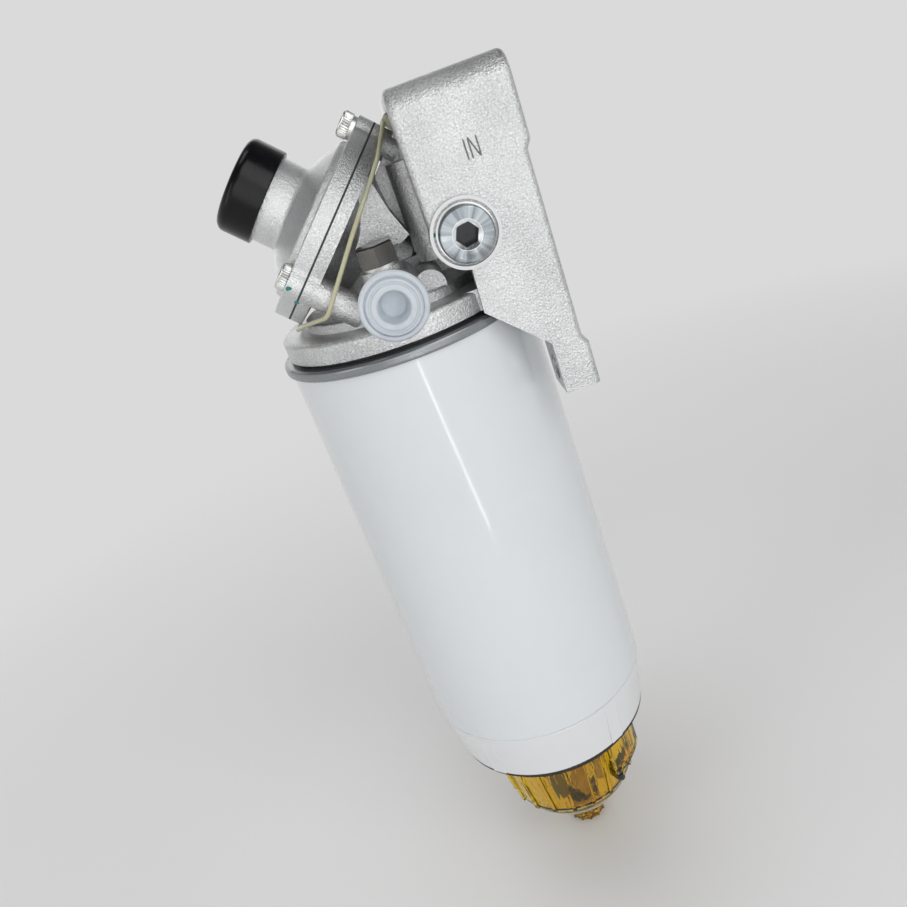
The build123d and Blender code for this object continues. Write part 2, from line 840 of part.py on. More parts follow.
# Return spring between the cover floor and the knob
spring_l = knob_cap_s - floor_end_s - 2 * spring_wire_r
with BuildPart() as pump_spring:
    with BuildLine():
        coil = Helix(
            pitch=spring_l / spring_turns,
            height=spring_l,
            radius=spring_r,
            center=pump_point(0, 0, floor_end_s + spring_wire_r),
            direction=pump_out,
        )
    with BuildSketch(Plane(origin=coil @ 0, z_dir=coil % 0)):
        Circle(spring_wire_r)
    sweep()
save(pump_spring.part, "pump_spring")

# Tie strap: a closed loop of straight runs with bends, and its locking head
strap_right = [pump_point(up, y, out) for up, y, out in strap_half]
strap_left = [pump_point(up, -y, out) for up, y, out in reversed(strap_half)]
with BuildPart() as tie_strap:
    with BuildLine():
        loop = FilletPolyline(*strap_right, *strap_left, radius=strap_bend_r, close=True)
    with BuildSketch(Plane(origin=loop @ 0, z_dir=loop % 0)):
        Circle(strap_r)
    sweep()
    strap_top = pump_point(strap_half[0][0] - strap_r, 0, strap_half[0][2] - 1.4)
    with BuildSketch(Plane(origin=strap_top, x_dir=(0, -1, 0), z_dir=pump_out)):
        Rectangle(strap_head_l, strap_head_w, align=(Align.CENTER, Align.MIN))
    extrude(amount=strap_head_t / 2, both=True)
save(tie_strap.part, "tie_strap")

# Canister gasket in the channel of the seam ring
with BuildPart() as can_gasket:
    with BuildSketch(level(0)):
        Circle(gasket_out_r)
        Circle(gasket_in_r, mode=Mode.SUBTRACT)
    extrude(amount=channel_floor)
save(can_gasket.part, "can_gasket")

with BuildPart() as seam_ring:
    with BuildSketch(can_section) as ring_section:
        with BuildLine():
            Polyline(
                (ring_in_r, ring_low),
                (ring_out_r, ring_low),
                (ring_out_r, ring_top),
                (channel_out_r, ring_top),
                (channel_out_r, channel_floor),
                (channel_in_r, channel_floor),
                (channel_in_r, channel_lip),
                (ring_in_r, channel_lip),
                close=True,
            )
        make_face()
        fillet(ring_section.vertices().filter_by(lambda v: v.X > ring_out_r - 0.1), radius=1.4)
    revolve(axis=can_axis)
save(seam_ring.part, "seam_ring")

# Nut plate with its threaded collar and inlet holes
with BuildPart() as nut_plate:
    with BuildSketch(can_section):
        with BuildLine():
            Polyline(
                (nipple_r + thread_gap, ring_low),
                (nut_plate_r, ring_low),
                (nut_plate_r, nut_plate_low),
                (nut_collar_r, nut_plate_low),
                (nut_collar_r, nut_collar_low),
                (nut_relief_r, nut_collar_low),
                (nut_relief_r, nut_thread_low),
                (nipple_r + thread_gap, nut_thread_low),
                close=True,
            )
        make_face()
    revolve(axis=can_axis)
    with BuildSketch(level(ring_low)):
        with PolarLocations(inlet_hole_pitch_r, inlet_hole_count):
            Circle(inlet_hole_r)
    extrude(amount=nut_plate_low - ring_low, mode=Mode.SUBTRACT)
save(nut_plate.part, "nut_plate")

# Canister shell with its turned-in floor
with BuildPart() as can_shell:
    with BuildSketch(can_section) as shell_section:
        with BuildLine():
            Polyline(
                (can_r - can_wall, ring_low),
                (can_r, ring_low),
                (can_r, can_low),
                (can_floor_r, can_low),
                (can_floor_r, can_floor),
                (can_r - can_wall, can_floor),
                close=True,
            )
        make_face()
        shell_foot = shell_section.vertices().filter_by(lambda v: v.X > can_r - 0.1 and v.Y < can_floor)
        fillet(shell_foot, radius=0.8)
    revolve(axis=can_axis)
save(can_shell.part, "can_shell")

# Skirt with its web, bowl thread and outer ribs
with BuildPart() as can_skirt:
    with BuildSketch(can_section) as skirt_section:
        with BuildLine():
            Polyline(
                (skirt_drop_r, can_low),
                (can_r, can_low),
                (skirt_low_r, skirt_low),
                (bowl_thread_r + thread_gap, skirt_low),
                (bowl_thread_r + thread_gap, can_low - skirt_web_t),
                (skirt_drop_r, can_low - skirt_web_t),
                close=True,
            )
        make_face()
        fillet(skirt_section.vertices().filter_by(lambda v: v.X > skirt_low_r - 0.1), radius=0.6)
    revolve(axis=can_axis)
    for index in range(skirt_rib_count):
        rib_angle = skirt_rib_phase + index * 360 / skirt_rib_count
        with BuildSketch(can_radial(rib_angle)):
            with BuildLine():
                Polyline(
                    (bowl_thread_r + 2, can_low - 2),
                    (can_r - 0.4, can_low - 2),
                    (skirt_low_r + skirt_rib_lift, skirt_low + 1.5),
                    (bowl_thread_r + 2, skirt_low + 1.5),
                    close=True,
                )
            make_face()
        extrude(amount=skirt_rib_w / 2, both=True)
save(can_skirt.part, "can_skirt")

# Pleated media: a star outline and the same star drawn inwards
outer_star = []
inner_star = []
for index in range(2 * pleat_count):
    angle = pi * index / pleat_count
    tip_r = element_r - pleat_depth * (index % 2)
    outer_star.append((tip_r * cos(angle), tip_r * sin(angle)))
    inner_star.append(((tip_r - pleat_thickness) * cos(angle), (tip_r - pleat_thickness) * sin(angle)))
with BuildPart() as element_media:
    with BuildSketch(level(media_top)):
        with BuildLine():
            Polyline(*outer_star, close=True)
        make_face()
        with BuildLine():
            Polyline(*inner_star, close=True)
        make_face(mode=Mode.SUBTRACT)
    extrude(amount=media_low - media_top)
save(element_media.part, "element_media")

with BuildPart() as element_top_cap:
    with BuildSketch(level(cap_plate_top)):
        Circle(cap_plate_r)
        Circle(grommet_r, mode=Mode.SUBTRACT)
    extrude(amount=-cap_plate_t)
save(element_top_cap.part, "element_top_cap")

with BuildPart() as element_bottom_cap:
    with BuildSketch(level(media_low)):
        Circle(cap_plate_r)
    extrude(amount=-cap_plate_t)
save(element_bottom_cap.part, "element_bottom_cap")

# Centre tube with rows of windows
with BuildPart() as centre_tube:
    with BuildSketch(level(media_top)):
        Circle(tube_r)
        Circle(tube_bore_r, mode=Mode.SUBTRACT)
    extrude(amount=media_low - media_top)
    media_middle = (media_top + media_low) / 2
    for column in range(window_columns // 2):
        with BuildSketch(can_radial(column * 360 / window_columns)):
            with Locations((0, media_middle)):
                with GridLocations(0, window_pitch, 1, window_rows):
                    Rectangle(window_w, window_h)
        extrude(amount=tube_r + 1, both=True, mode=Mode.SUBTRACT)
save(centre_tube.part, "centre_tube")

# Grommet between the nipple and the element
with BuildPart() as nipple_grommet:
    with BuildSketch(can_section):
        with BuildLine():
            Polyline(
                (nipple_plain_r + thread_gap, cap_plate_top),
                (grommet_r, cap_plate_top),
                (grommet_r, media_top),
                (grommet_flange_r, media_top),
                (grommet_flange_r, grommet_low),
                (nipple_plain_r + thread_gap, grommet_low),
                close=True,
            )
        make_face()
    revolve(axis=can_axis)
save(nipple_grommet.part, "nipple_grommet")

# Spring plate that lifts the element off the canister floor
with BuildPart() as spring_plate:
    with BuildSketch(can_section):
        with BuildLine():
            Polyline(
                (spring_in_r, element_low),
                (spring_high_r, element_low),
                (spring_low_r, can_floor + spring_plate_t),
                (spring_out_r, can_floor + spring_plate_t),
                (spring_out_r, can_floor),
                (spring_low_r - 0.5, can_floor),
                (spring_high_r - 0.5, element_low - spring_plate_t),
                (spring_in_r, element_low - spring_plate_t),
                close=True,
            )
        make_face()
    revolve(axis=can_axis)
save(spring_plate.part, "spring_plate")

# Water baffle: a collar under the skirt's web with pointed legs down into the bowl
baffle_top = can_low - skirt_web_t
leg_top = baffle_top - baffle_t / 2
with BuildPart() as water_baffle:
    with BuildSketch(level(baffle_top)):
        Circle(baffle_out_r)
        Circle(baffle_in_r, mode=Mode.SUBTRACT)
    extrude(amount=-baffle_t)
    for index in range(baffle_leg_count):
        leg_angle = baffle_leg_phase + index * 360 / baffle_leg_count
        with BuildSketch(can_radial(leg_angle + 90).offset(baffle_leg_r - baffle_leg_t / 2)):
            with BuildLine():
                Polyline(
                    (-baffle_leg_w / 2, leg_top),
                    (baffle_leg_w / 2, leg_top),
                    (baffle_leg_w / 2, baffle_leg_low + baffle_tip_l),
                    (0, baffle_leg_low),
                    (-baffle_leg_w / 2, baffle_leg_low + baffle_tip_l),
                    close=True,
                )
            make_face()
        extrude(amount=baffle_leg_t)
save(water_baffle.part, "water_baffle")

# Bowl gasket under the skirt
with BuildPart() as bowl_gasket:
    with BuildSketch(level(skirt_low)):
        Circle(bowl_gasket_out_r)
        Circle(bowl_gasket_in_r, mode=Mode.SUBTRACT)
    extrude(amount=-bowl_gasket_t)
save(bowl_gasket.part, "bowl_gasket")

# Clear bowl: spigot, flange, body, dish and drain boss, with ribs and the lobe of the sensor port
plug_turn = radians(lobe_plug_angle)
lobe_plug_spot = (lobe_plug_offset * cos(plug_turn), lobe_plug_offset * sin(plug_turn))
spigot_in_r = bowl_thread_r - bowl_wall - 0.5
with BuildPart() as water_bowl:
    with BuildSketch(can_section):
        with BuildLine():
            Polyline(
                (0, skirt_low + bowl_thread_l),
                (bowl_thread_r, skirt_low + bowl_thread_l),
                (bowl_thread_r, bowl_top),
                (bowl_flange_r, bowl_top),
                (bowl_flange_r, bowl_flange_low),
                (bowl_top_r + 0.6, bowl_flange_low),
                (bowl_top_r, bowl_flange_low - 1.2),
                (bowl_low_r, bowl_body_low),
                (bowl_low_r - 1.8, bowl_body_low - 4),
                (bowl_low_r - 4.6, bowl_body_low - 8),
                (bowl_low_r - 7.6, bowl_body_low - 12),
                (bowl_low_r - 10.6, bowl_body_low - 15.5),
                (bowl_low_r - 14, bowl_body_low - 18.5),
                (drain_boss_r + 3, bowl_body_low - 20.2),
                (drain_boss_r, bowl_body_low - 20.7),
                (drain_boss_r, drain_boss_low),
                (0, drain_boss_low),
                close=True,
            )
        make_face()
    revolve(axis=can_axis)
    for index in range(bowl_rib_count):
        with BuildSketch(can_radial(bowl_rib_phase + index * 360 / bowl_rib_count)):
            with BuildLine():
                Polyline(
                    (bowl_top_r - 2.5, bowl_flange_low + 0.5),
                    (bowl_top_r + bowl_rib_lift, bowl_flange_low + 0.5),
                    (bowl_low_r + bowl_rib_lift, bowl_body_low),
                    (bowl_low_r - 2.5, bowl_body_low),
                    close=True,
                )
            make_face()
        extrude(amount=bowl_rib_w / 2, both=True)
    with BuildSketch(can_radial(lobe_start)):
        with BuildLine():
            Polyline(
                (bowl_low_r - 2, bowl_flange_low + 0.5),
                (lobe_r, bowl_flange_low + 0.5),
                (lobe_r, lobe_low + 2),
                (lobe_r - 1.5, lobe_low),
                (bowl_low_r - 2, lobe_low),
                close=True,
            )
        make_face()
    revolve(axis=can_axis, revolution_arc=lobe_span)
    # Inner space of the bowl and of the lobe, then the bores of the drain and the sensor port
    with BuildSketch(can_section):
        with BuildLine():
            Polyline(
                (0, skirt_low + bowl_thread_l),
                (spigot_in_r, skirt_low + bowl_thread_l),
                (spigot_in_r, bowl_flange_low + 2),
                (bowl_top_r - bowl_wall, bowl_flange_low - 1.2),
                (bowl_low_r - bowl_wall, bowl_body_low),
                (bowl_low_r - 4.4, bowl_body_low - 2.6),
                (bowl_low_r - 10.4, bowl_body_low - 10.6),
                (bowl_low_r - 15.5, bowl_body_low - 15),
                (drain_boss_r, bowl_body_low - 17),
                (0, bowl_body_low - bowl_dish_h),
                close=True,
            )
        make_face()
    revolve(axis=can_axis, mode=Mode.SUBTRACT)
    with BuildSketch(can_radial(lobe_start + lobe_wall_turn)):
        with BuildLine():
            Polyline(
                (bowl_low_r - bowl_wall - 2, bowl_flange_low - 1.2),
                (lobe_r - bowl_wall, bowl_flange_low - 1.2),
                (lobe_r - bowl_wall, lobe_low + bowl_wall),
                (bowl_low_r - bowl_wall - 2, lobe_low + bowl_wall),
                close=True,
            )
        make_face()
    revolve(axis=can_axis, revolution_arc=lobe_span - 2 * lobe_wall_turn, mode=Mode.SUBTRACT)
    with BuildSketch(level(drain_boss_low)):
        Circle(drain_shank_r + thread_gap)
    extrude(amount=bowl_body_low - bowl_dish_h + 1 - drain_boss_low, mode=Mode.SUBTRACT)
    with BuildSketch(level(lobe_low)):
        with Locations(lobe_plug_spot):
            Circle(lobe_plug_r)
    extrude(amount=bowl_wall, mode=Mode.SUBTRACT)
save(water_bowl.part, "water_bowl")

# Plug of the sensor port under the lobe
with BuildPart() as sensor_port_plug:
    with BuildSketch(level(lobe_low + bowl_wall)):
        with Locations(lobe_plug_spot):
            Circle(lobe_plug_r)
    extrude(amount=-bowl_wall)
    with BuildSketch(level(lobe_low)):
        with Locations(lobe_plug_spot):
            Circle(lobe_plug_head_r)
    extrude(amount=-lobe_plug_head_h)
    with BuildSketch(level(lobe_low - lobe_plug_head_h)):
        with Locations(lobe_plug_spot):
            Rectangle(lobe_plug_slot_w, 3 * lobe_plug_head_r, rotation=lobe_plug_angle)
    extrude(amount=lobe_plug_head_h / 2, mode=Mode.SUBTRACT)
save(sensor_port_plug.part, "sensor_port_plug")

# Drain valve with its sealing ring
drain_knob_top = drain_boss_low - drain_ring_t
with BuildPart() as drain_ring:
    with BuildSketch(level(drain_boss_low)):
        Circle(drain_ring_r)
        Circle(drain_shank_r + thread_gap, mode=Mode.SUBTRACT)
    extrude(amount=-drain_ring_t)
save(drain_ring.part, "drain_ring")

with BuildPart() as drain_valve:
    with BuildSketch(level(drain_boss_low + drain_shank_l)):
        Circle(drain_shank_r)
    extrude(amount=-(drain_shank_l + drain_ring_t))
    with BuildSketch(level(drain_knob_top)):
        Circle(drain_knob_r)
        with PolarLocations(drain_knob_r, drain_grip_count):
            Circle(drain_grip_r)
    extrude(amount=-drain_knob_h)
    with BuildSketch(level(drain_knob_top - drain_knob_h)):
        Circle(drain_pipe_r)
    extrude(amount=-drain_pipe_l)
    with BuildSketch(level(drain_knob_top - drain_knob_h - drain_pipe_l)):
        Circle(drain_pipe_bore_r)
    extrude(amount=drain_pipe_l + drain_knob_h, mode=Mode.SUBTRACT)
save(drain_valve.part, "drain_valve")
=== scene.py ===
"""Looks of a spin-on fuel pre-filter: cast head, primer pump, canister and clear water bowl.

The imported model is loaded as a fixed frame, and everything here stands in that same frame:
metres, +Z up along the canister, the origin at the centre of the bracket's bolt holes, and +X
out of the mounting face. The object's own sizes are millimetres and are turned into metres
where a mesh is made. Bump depths and lamps are in metres, and noise scales are per metre.
"""

import logging
from abc import ABC, abstractmethod
from dataclasses import dataclass
from enum import Enum
from typing import Any, Sequence, Union

import bmesh
import bpy
import numpy as np
from mathutils import Matrix, Quaternion, Vector


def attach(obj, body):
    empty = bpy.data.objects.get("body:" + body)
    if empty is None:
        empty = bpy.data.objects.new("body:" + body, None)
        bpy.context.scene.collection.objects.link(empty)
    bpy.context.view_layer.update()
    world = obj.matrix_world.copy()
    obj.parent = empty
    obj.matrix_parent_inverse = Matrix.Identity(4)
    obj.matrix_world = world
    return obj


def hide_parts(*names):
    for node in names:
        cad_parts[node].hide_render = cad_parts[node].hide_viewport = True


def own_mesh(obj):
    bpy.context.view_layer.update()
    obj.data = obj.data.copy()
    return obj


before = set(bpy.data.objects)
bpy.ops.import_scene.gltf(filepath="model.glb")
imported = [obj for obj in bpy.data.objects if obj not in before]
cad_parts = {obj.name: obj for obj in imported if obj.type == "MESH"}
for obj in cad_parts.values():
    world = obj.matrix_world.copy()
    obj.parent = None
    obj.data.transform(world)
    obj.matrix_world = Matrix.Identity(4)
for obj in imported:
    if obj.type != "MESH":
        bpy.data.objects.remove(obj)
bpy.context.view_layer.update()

Point = tuple[float, float, float]
Colour = tuple[float, float, float]
Band = tuple[float, float]
Source = Union[float, Sequence[float], bpy.types.NodeSocket]

LOG = logging.getLogger("fuel_pre_filter")
MM = 0.001
PHOTO_PIXELS = 907
CAN_AXIS_X = -66.0
SHARP_ANGLE = 32.0
MERGE_DISTANCE = 1e-7
EMPTY_EDGE = 1e-8
WHITE: Colour = (1.0, 1.0, 1.0)
# Most values of a noise lie in this band
MIDDLE: Band = (0.35, 0.65)


@dataclass(frozen=True)
class Spindle:
    """A straight axis that round pieces turn about.

    Attributes:
        origin: A point on the axis, in millimetres.
        along: The axis direction, a unit vector.
        across: A unit vector square to it, from which angles are counted.
    """

    origin: Point
    along: Point
    across: Point

    def frame_axes(self) -> tuple[np.ndarray, np.ndarray, np.ndarray]:
        """Works out the unit vectors across, along x across, and along.

        Returns:
            The three vectors, each an array.
        """
        along = np.array(self.along)
        across = np.array(self.across)
        return across, np.cross(along, across), along

    def rotation(self) -> tuple[float, float, float]:
        """Returns the Euler angles that turn +Z to the axis and +X to across."""
        return tuple(Matrix(self.frame_axes()).transposed().to_euler("XYZ"))


PUMP_LEAN = np.radians(44.3)
CAN_SPINDLE = Spindle((CAN_AXIS_X, 0.0, 0.0), (0.0, 0.0, 1.0), (1.0, 0.0, 0.0))
PUMP_SPINDLE = Spindle(
    (-82.2, 0.0, 27.05),
    (-float(np.sin(PUMP_LEAN)), 0.0, float(np.cos(PUMP_LEAN))),
    (float(np.cos(PUMP_LEAN)), 0.0, float(np.sin(PUMP_LEAN))),
)


# Shader helpers


class Grit(Enum):
    """What a noise is made up of: its detail and its roughness."""

    SMOOTH = (2.0, 0.4)
    SOFT = (2.0, 0.5)
    LIGHT = (2.0, 0.6)
    MIXED = (3.0, 0.6)
    COARSE = (4.0, 0.6)
    SHARP = (4.0, 0.7)


class Graph:
    """Short calls that add and join the nodes of one node tree."""

    def __init__(self, tree: bpy.types.NodeTree) -> None:
        """Starts on a tree.

        Args:
            tree: The node tree of a material, a world or a node group.
        """
        self.tree = tree

    def add(self, kind: str, inputs: dict[Any, Source] | None = None, **props: Any) -> bpy.types.Node:
        """Adds a node.

        Args:
            kind: The node's type name.
            inputs: Input name or index to a value, or to the socket that feeds it.
            **props: The node's own settings.

        Returns:
            The new node.
        """
        node = self.tree.nodes.new(kind)
        for key, value in props.items():
            setattr(node, key, value)
        for key, value in (inputs or {}).items():
            self.feed(node.inputs[key], value)
        return node

    def feed(self, socket: bpy.types.NodeSocket, value: Source) -> None:
        """Joins a socket to another, or sets its plain value, a colour's with full alpha.

        Args:
            socket: The input.
            value: The socket that feeds it, or its plain value.
        """
        if isinstance(value, bpy.types.NodeSocket):
            self.tree.links.new(value, socket)
        elif socket.type == "RGBA":
            socket.default_value = (*value, 1.0)
        else:
            socket.default_value = value

    def math(self, operation: str, first: Source, second: Source = 0.0) -> bpy.types.NodeSocket:
        """Returns the output of one Math node."""
        return self.add("ShaderNodeMath", {0: first, 1: second}, operation=operation).outputs[0]

    def plus(self, first: Source, second: Source) -> bpy.types.NodeSocket:
        """Returns first + second."""
        return self.math("ADD", first, second)

    def times(self, first: Source, second: Source) -> bpy.types.NodeSocket:
        """Returns first x second."""
        return self.math("MULTIPLY", first, second)

    def reach(self, first: Source, second: Source) -> bpy.types.NodeSocket:
        """Returns the square root of first squared + second squared."""
        return self.math("SQRT", self.plus(self.times(first, first), self.times(second, second)))

    def vector_math(self, operation: str, first: Source, second: Source = (0.0, 0.0, 0.0)) -> Any:
        """Returns the outputs of one Vector Math node."""
        return self.add("ShaderNodeVectorMath", {0: first, 1: second}, operation=operation).outputs

    def split(self, vector: Source) -> Any:
        """Returns a vector's X, Y and Z sockets."""
        return self.add("ShaderNodeSeparateXYZ", {0: vector}).outputs

    def join(self, x: Source, y: Source, z: Source) -> bpy.types.NodeSocket:
        """Returns the vector of three numbers."""
        return self.add("ShaderNodeCombineXYZ", {0: x, 1: y, 2: z}).outputs[0]

    def mix(self, share: Source, low: Source, high: Source) -> bpy.types.NodeSocket:
        """Returns low where share is 0 and high where it is 1, as plain numbers."""
        return self.add("ShaderNodeMix", {0: share, 2: low, 3: high}, data_type="FLOAT").outputs[0]

    def blend(self, share: Source, low: Source, high: Source) -> bpy.types.NodeSocket:
        """Returns the colour between low and high at that share."""
        return self.add("ShaderNodeMix", {0: share, 6: low, 7: high}, data_type="RGBA").outputs[2]

    def spread(self, value: Source, band: Band, to: Band = (0.0, 1.0)) -> bpy.types.NodeSocket:
        """Returns value stretched from one band to another, and held there."""
        ends = {"From Min": band[0], "From Max": band[1], "To Min": to[0], "To Max": to[1]}
        return self.add("ShaderNodeMapRange", {"Value": value, **ends}).outputs[0]

    def noise(self, vector: Source, scale: Source, grit: Grit) -> bpy.types.NodeSocket:
        """Adds a Noise Texture.

        Args:
            vector: The coordinates that it is read at.
            scale: Its scale, per metre.
            grit: What it is made up of.

        Returns:
            The noise, about 0.5 in its middle.
        """
        detail, roughness = grit.value
        inputs = {"Vector": vector, "Scale": scale, "Detail": detail, "Roughness": roughness}
        return self.add("ShaderNodeTexNoise", inputs).outputs[0]

    def bump(self, height: Source, strength: float, depth: float) -> bpy.types.NodeSocket:
        """Returns the Normal of a Bump node, for a height from 0 to 1 and its depth in metres."""
        inputs = {"Height": height, "Strength": strength, "Distance": depth}
        return self.add("ShaderNodeBump", inputs).outputs[0]


class Effect(Enum):
    """The shared effects, each a node group that is built once."""

    CAST_GRAIN = "CastGrain"
    TURNED_LINES = "TurnedLines"
    RADIAL_SHEEN = "RadialSheen"
    SMUDGES = "Smudges"
    SCRATCHES = "Scratches"


class EffectLibrary:
    """Builds each shared effect when a finish first asks for it.

    Every group has the inputs Vector and Scale. Scales below are shares of that Scale, and heights
    and shares are parts of the whole.
    """

    SWELL_SCALE = 0.22
    SWELL_HEIGHT = 0.7
    PEBBLE_HEIGHT = 0.6
    PATCHES_PER_METRE = 45.0
    FINE_SHARE = 0.75
    TONE_BAND = (0.36, 0.64)
    SPECK_BAND = (0.6, 0.74)
    LINE_TURN = 0.0004
    WIDE_LINE_SCALE = 0.16
    LINE_BAND = (0.7, 1.3)
    SMUDGE_FINE_SCALE = 9.0
    SMUDGE_FINE_SHARE = 0.2
    SMUDGE_BAND = (0.47, 0.66)
    SCRATCH_SLANT = (0.4, 0.9, 0.3)
    SCRATCH_STRETCH = (1.0, 1.0, 0.08)
    SCRATCH_HALF_WIDTH = 0.012

    def __init__(self) -> None:
        """Starts with no group built."""
        self.groups: dict[Effect, bpy.types.NodeTree] = {}
        self.builders = {
            Effect.CAST_GRAIN: self._cast_grain,
            Effect.TURNED_LINES: self._turned_lines,
            Effect.RADIAL_SHEEN: self._radial_sheen,
            Effect.SMUDGES: self._smudges,
            Effect.SCRATCHES: self._scratches,
        }

    def place(self, graph: Graph, effect: Effect, vector: Source, scale: float) -> Any:
        """Puts an effect into a material.

        Args:
            graph: The material's graph.
            effect: Which effect.
            vector: The coordinates that it is read at.
            scale: Its scale, per metre.

        Returns:
            The group node's outputs, which carry the effect.
        """
        if effect not in self.groups:
            self.groups[effect] = self.builders[effect]()
        inputs = {"Vector": vector, "Scale": scale}
        return graph.add("ShaderNodeGroup", inputs, node_tree=self.groups[effect]).outputs

    def _open(self, effect: Effect, outputs: Sequence[str]) -> tuple[Graph, Any, Any]:
        """Starts a group.

        Args:
            effect: The effect, which gives the group its name.
            outputs: The names of its outputs, each a number.

        Returns:
            The group's graph, its given values and its results.
        """
        tree = bpy.data.node_groups.new(effect.value, "ShaderNodeTree")
        tree.interface.new_socket("Vector", in_out="INPUT", socket_type="NodeSocketVector")
        tree.interface.new_socket("Scale", in_out="INPUT", socket_type="NodeSocketFloat")
        for output in outputs:
            tree.interface.new_socket(output, in_out="OUTPUT", socket_type="NodeSocketFloat")
        graph = Graph(tree)
        return graph, graph.add("NodeGroupInput").outputs, graph.add("NodeGroupOutput").inputs

    def _cast_grain(self) -> bpy.types.NodeTree:
        """Sand-cast skin: fine pebbles on soft swells, with tone patches and bright specks.

        Returns:
            The node group.
        """
        graph, given, result = self._open(Effect.CAST_GRAIN, ("Height", "Tone", "Speck"))
        vector, scale = given["Vector"], given["Scale"]
        fine = graph.noise(vector, scale, Grit.SHARP)
        voronoi = graph.add("ShaderNodeTexVoronoi", {"Vector": vector, "Scale": scale})
        pebble = graph.times(voronoi.outputs["Distance"], self.PEBBLE_HEIGHT)
        swell = graph.noise(vector, graph.times(scale, self.SWELL_SCALE), Grit.SOFT)
        height = graph.plus(graph.plus(fine, pebble), graph.times(swell, self.SWELL_HEIGHT))
        patch = graph.noise(vector, self.PATCHES_PER_METRE, Grit.COARSE)
        tone = graph.mix(self.FINE_SHARE, patch, fine)
        graph.feed(result["Height"], height)
        graph.feed(result["Tone"], graph.spread(tone, self.TONE_BAND))
        graph.feed(result["Speck"], graph.spread(fine, self.SPECK_BAND))
        return graph.tree

    def _turned_lines(self) -> bpy.types.NodeTree:
        """Lathe lines: noise read at (radius, height) about Z, so it changes little round it.

        Returns:
            The node group.
        """
        graph, given, result = self._open(Effect.TURNED_LINES, ("Height", "Tone"))
        x, y, z = graph.split(given["Vector"])
        turn = graph.times(graph.math("ARCTAN2", y, x), self.LINE_TURN)
        place = graph.join(graph.reach(x, y), z, turn)
        lines = graph.noise(place, given["Scale"], Grit.SOFT)
        wide = graph.noise(place, graph.times(given["Scale"], self.WIDE_LINE_SCALE), Grit.SOFT)
        graph.feed(result["Height"], lines)
        graph.feed(result["Tone"], graph.spread(graph.plus(lines, wide), self.LINE_BAND))
        return graph.tree

    def _radial_sheen(self) -> bpy.types.NodeTree:
        """Painted sheen: a tone that changes only with the angle about Z, as a turned face's reflection
        shows it.

        Returns:
            The node group.
        """
        graph, given, result = self._open(Effect.RADIAL_SHEEN, ("Tone",))
        flat = graph.vector_math("MULTIPLY", given["Vector"], (1.0, 1.0, 0.0))[0]
        rays = graph.noise(graph.vector_math("NORMALIZE", flat)[0], given["Scale"], Grit.SOFT)
        graph.feed(result["Tone"], graph.spread(rays, self.TONE_BAND))
        return graph.tree

    def _smudges(self) -> bpy.types.NodeTree:
        """Soft handling marks: wide noise with a finer one on it, cut to patches.

        Returns:
            The node group.
        """
        graph, given, result = self._open(Effect.SMUDGES, ("Mask",))
        wide = graph.noise(given["Vector"], given["Scale"], Grit.MIXED)
        fine_scale = graph.times(given["Scale"], self.SMUDGE_FINE_SCALE)
        fine = graph.noise(given["Vector"], fine_scale, Grit.LIGHT)
        both = graph.mix(self.SMUDGE_FINE_SHARE, wide, fine)
        graph.feed(result["Mask"], graph.spread(both, self.SMUDGE_BAND))
        return graph.tree

    def _scratches(self) -> bpy.types.NodeTree:
        """Hair scratches: noise drawn out along one slanted line, and cut thin at its middle.

        Returns:
            The node group.
        """
        graph, given, result = self._open(Effect.SCRATCHES, ("Mask",))
        inputs = {"Vector": given["Vector"], "Rotation": self.SCRATCH_SLANT, "Scale": self.SCRATCH_STRETCH}
        slant = graph.add("ShaderNodeMapping", inputs).outputs[0]
        lines = graph.noise(slant, given["Scale"], Grit.SMOOTH)
        distance = graph.math("ABSOLUTE", graph.math("SUBTRACT", lines, 0.5))
        graph.feed(result["Mask"], graph.spread(distance, (0.0, self.SCRATCH_HALF_WIDTH), (1.0, 0.0)))
        return graph.tree


EFFECTS = EffectLibrary()


class Sheet:
    """One material: its graph, its Principled shader and the Object coordinates."""

    def __init__(self, name: str) -> None:
        """Makes the empty material.

        Args:
            name: The material's name.
        """
        self.material = bpy.data.materials.new(name)
        self.material.use_nodes = True
        tree = self.material.node_tree
        tree.nodes.clear()
        self.graph = Graph(tree)
        self.shader = self.graph.add("ShaderNodeBsdfPrincipled")
        self.output = self.graph.add("ShaderNodeOutputMaterial", {0: self.shader.outputs[0]})
        self.place = self.graph.add("ShaderNodeTexCoord").outputs["Object"]

    def set(self, **values: Source) -> None:
        """Sets or feeds the shader's sockets, named with underscores for spaces.

        Args:
            **values: A plain value, or the socket that feeds it, for each of the shader's sockets.
        """
        for name, value in values.items():
            words = (word.upper() if word == "ior" else word.capitalize() for word in name.split("_"))
            self.graph.feed(self.shader.inputs[" ".join(words)], value)

    def effect(self, effect: Effect, scale: float, vector: Source | None = None) -> Any:
        """Returns a shared effect's outputs, read at a vector or else at the Object coordinates."""
        return EFFECTS.place(self.graph, effect, self.place if vector is None else vector, scale)

    def about(self, spindle: Spindle) -> bpy.types.NodeSocket:
        """Centres the coordinates, with the spindle's axis as Z and its origin as zero.

        Args:
            spindle: The axis.

        Returns:
            The centred coordinates.
        """
        origin = tuple(MM * value for value in spindle.origin)
        inputs = {"Vector": self.place, "Location": origin, "Rotation": spindle.rotation()}
        return self.graph.add("ShaderNodeMapping", inputs, vector_type="TEXTURE").outputs[0]


# Finishes


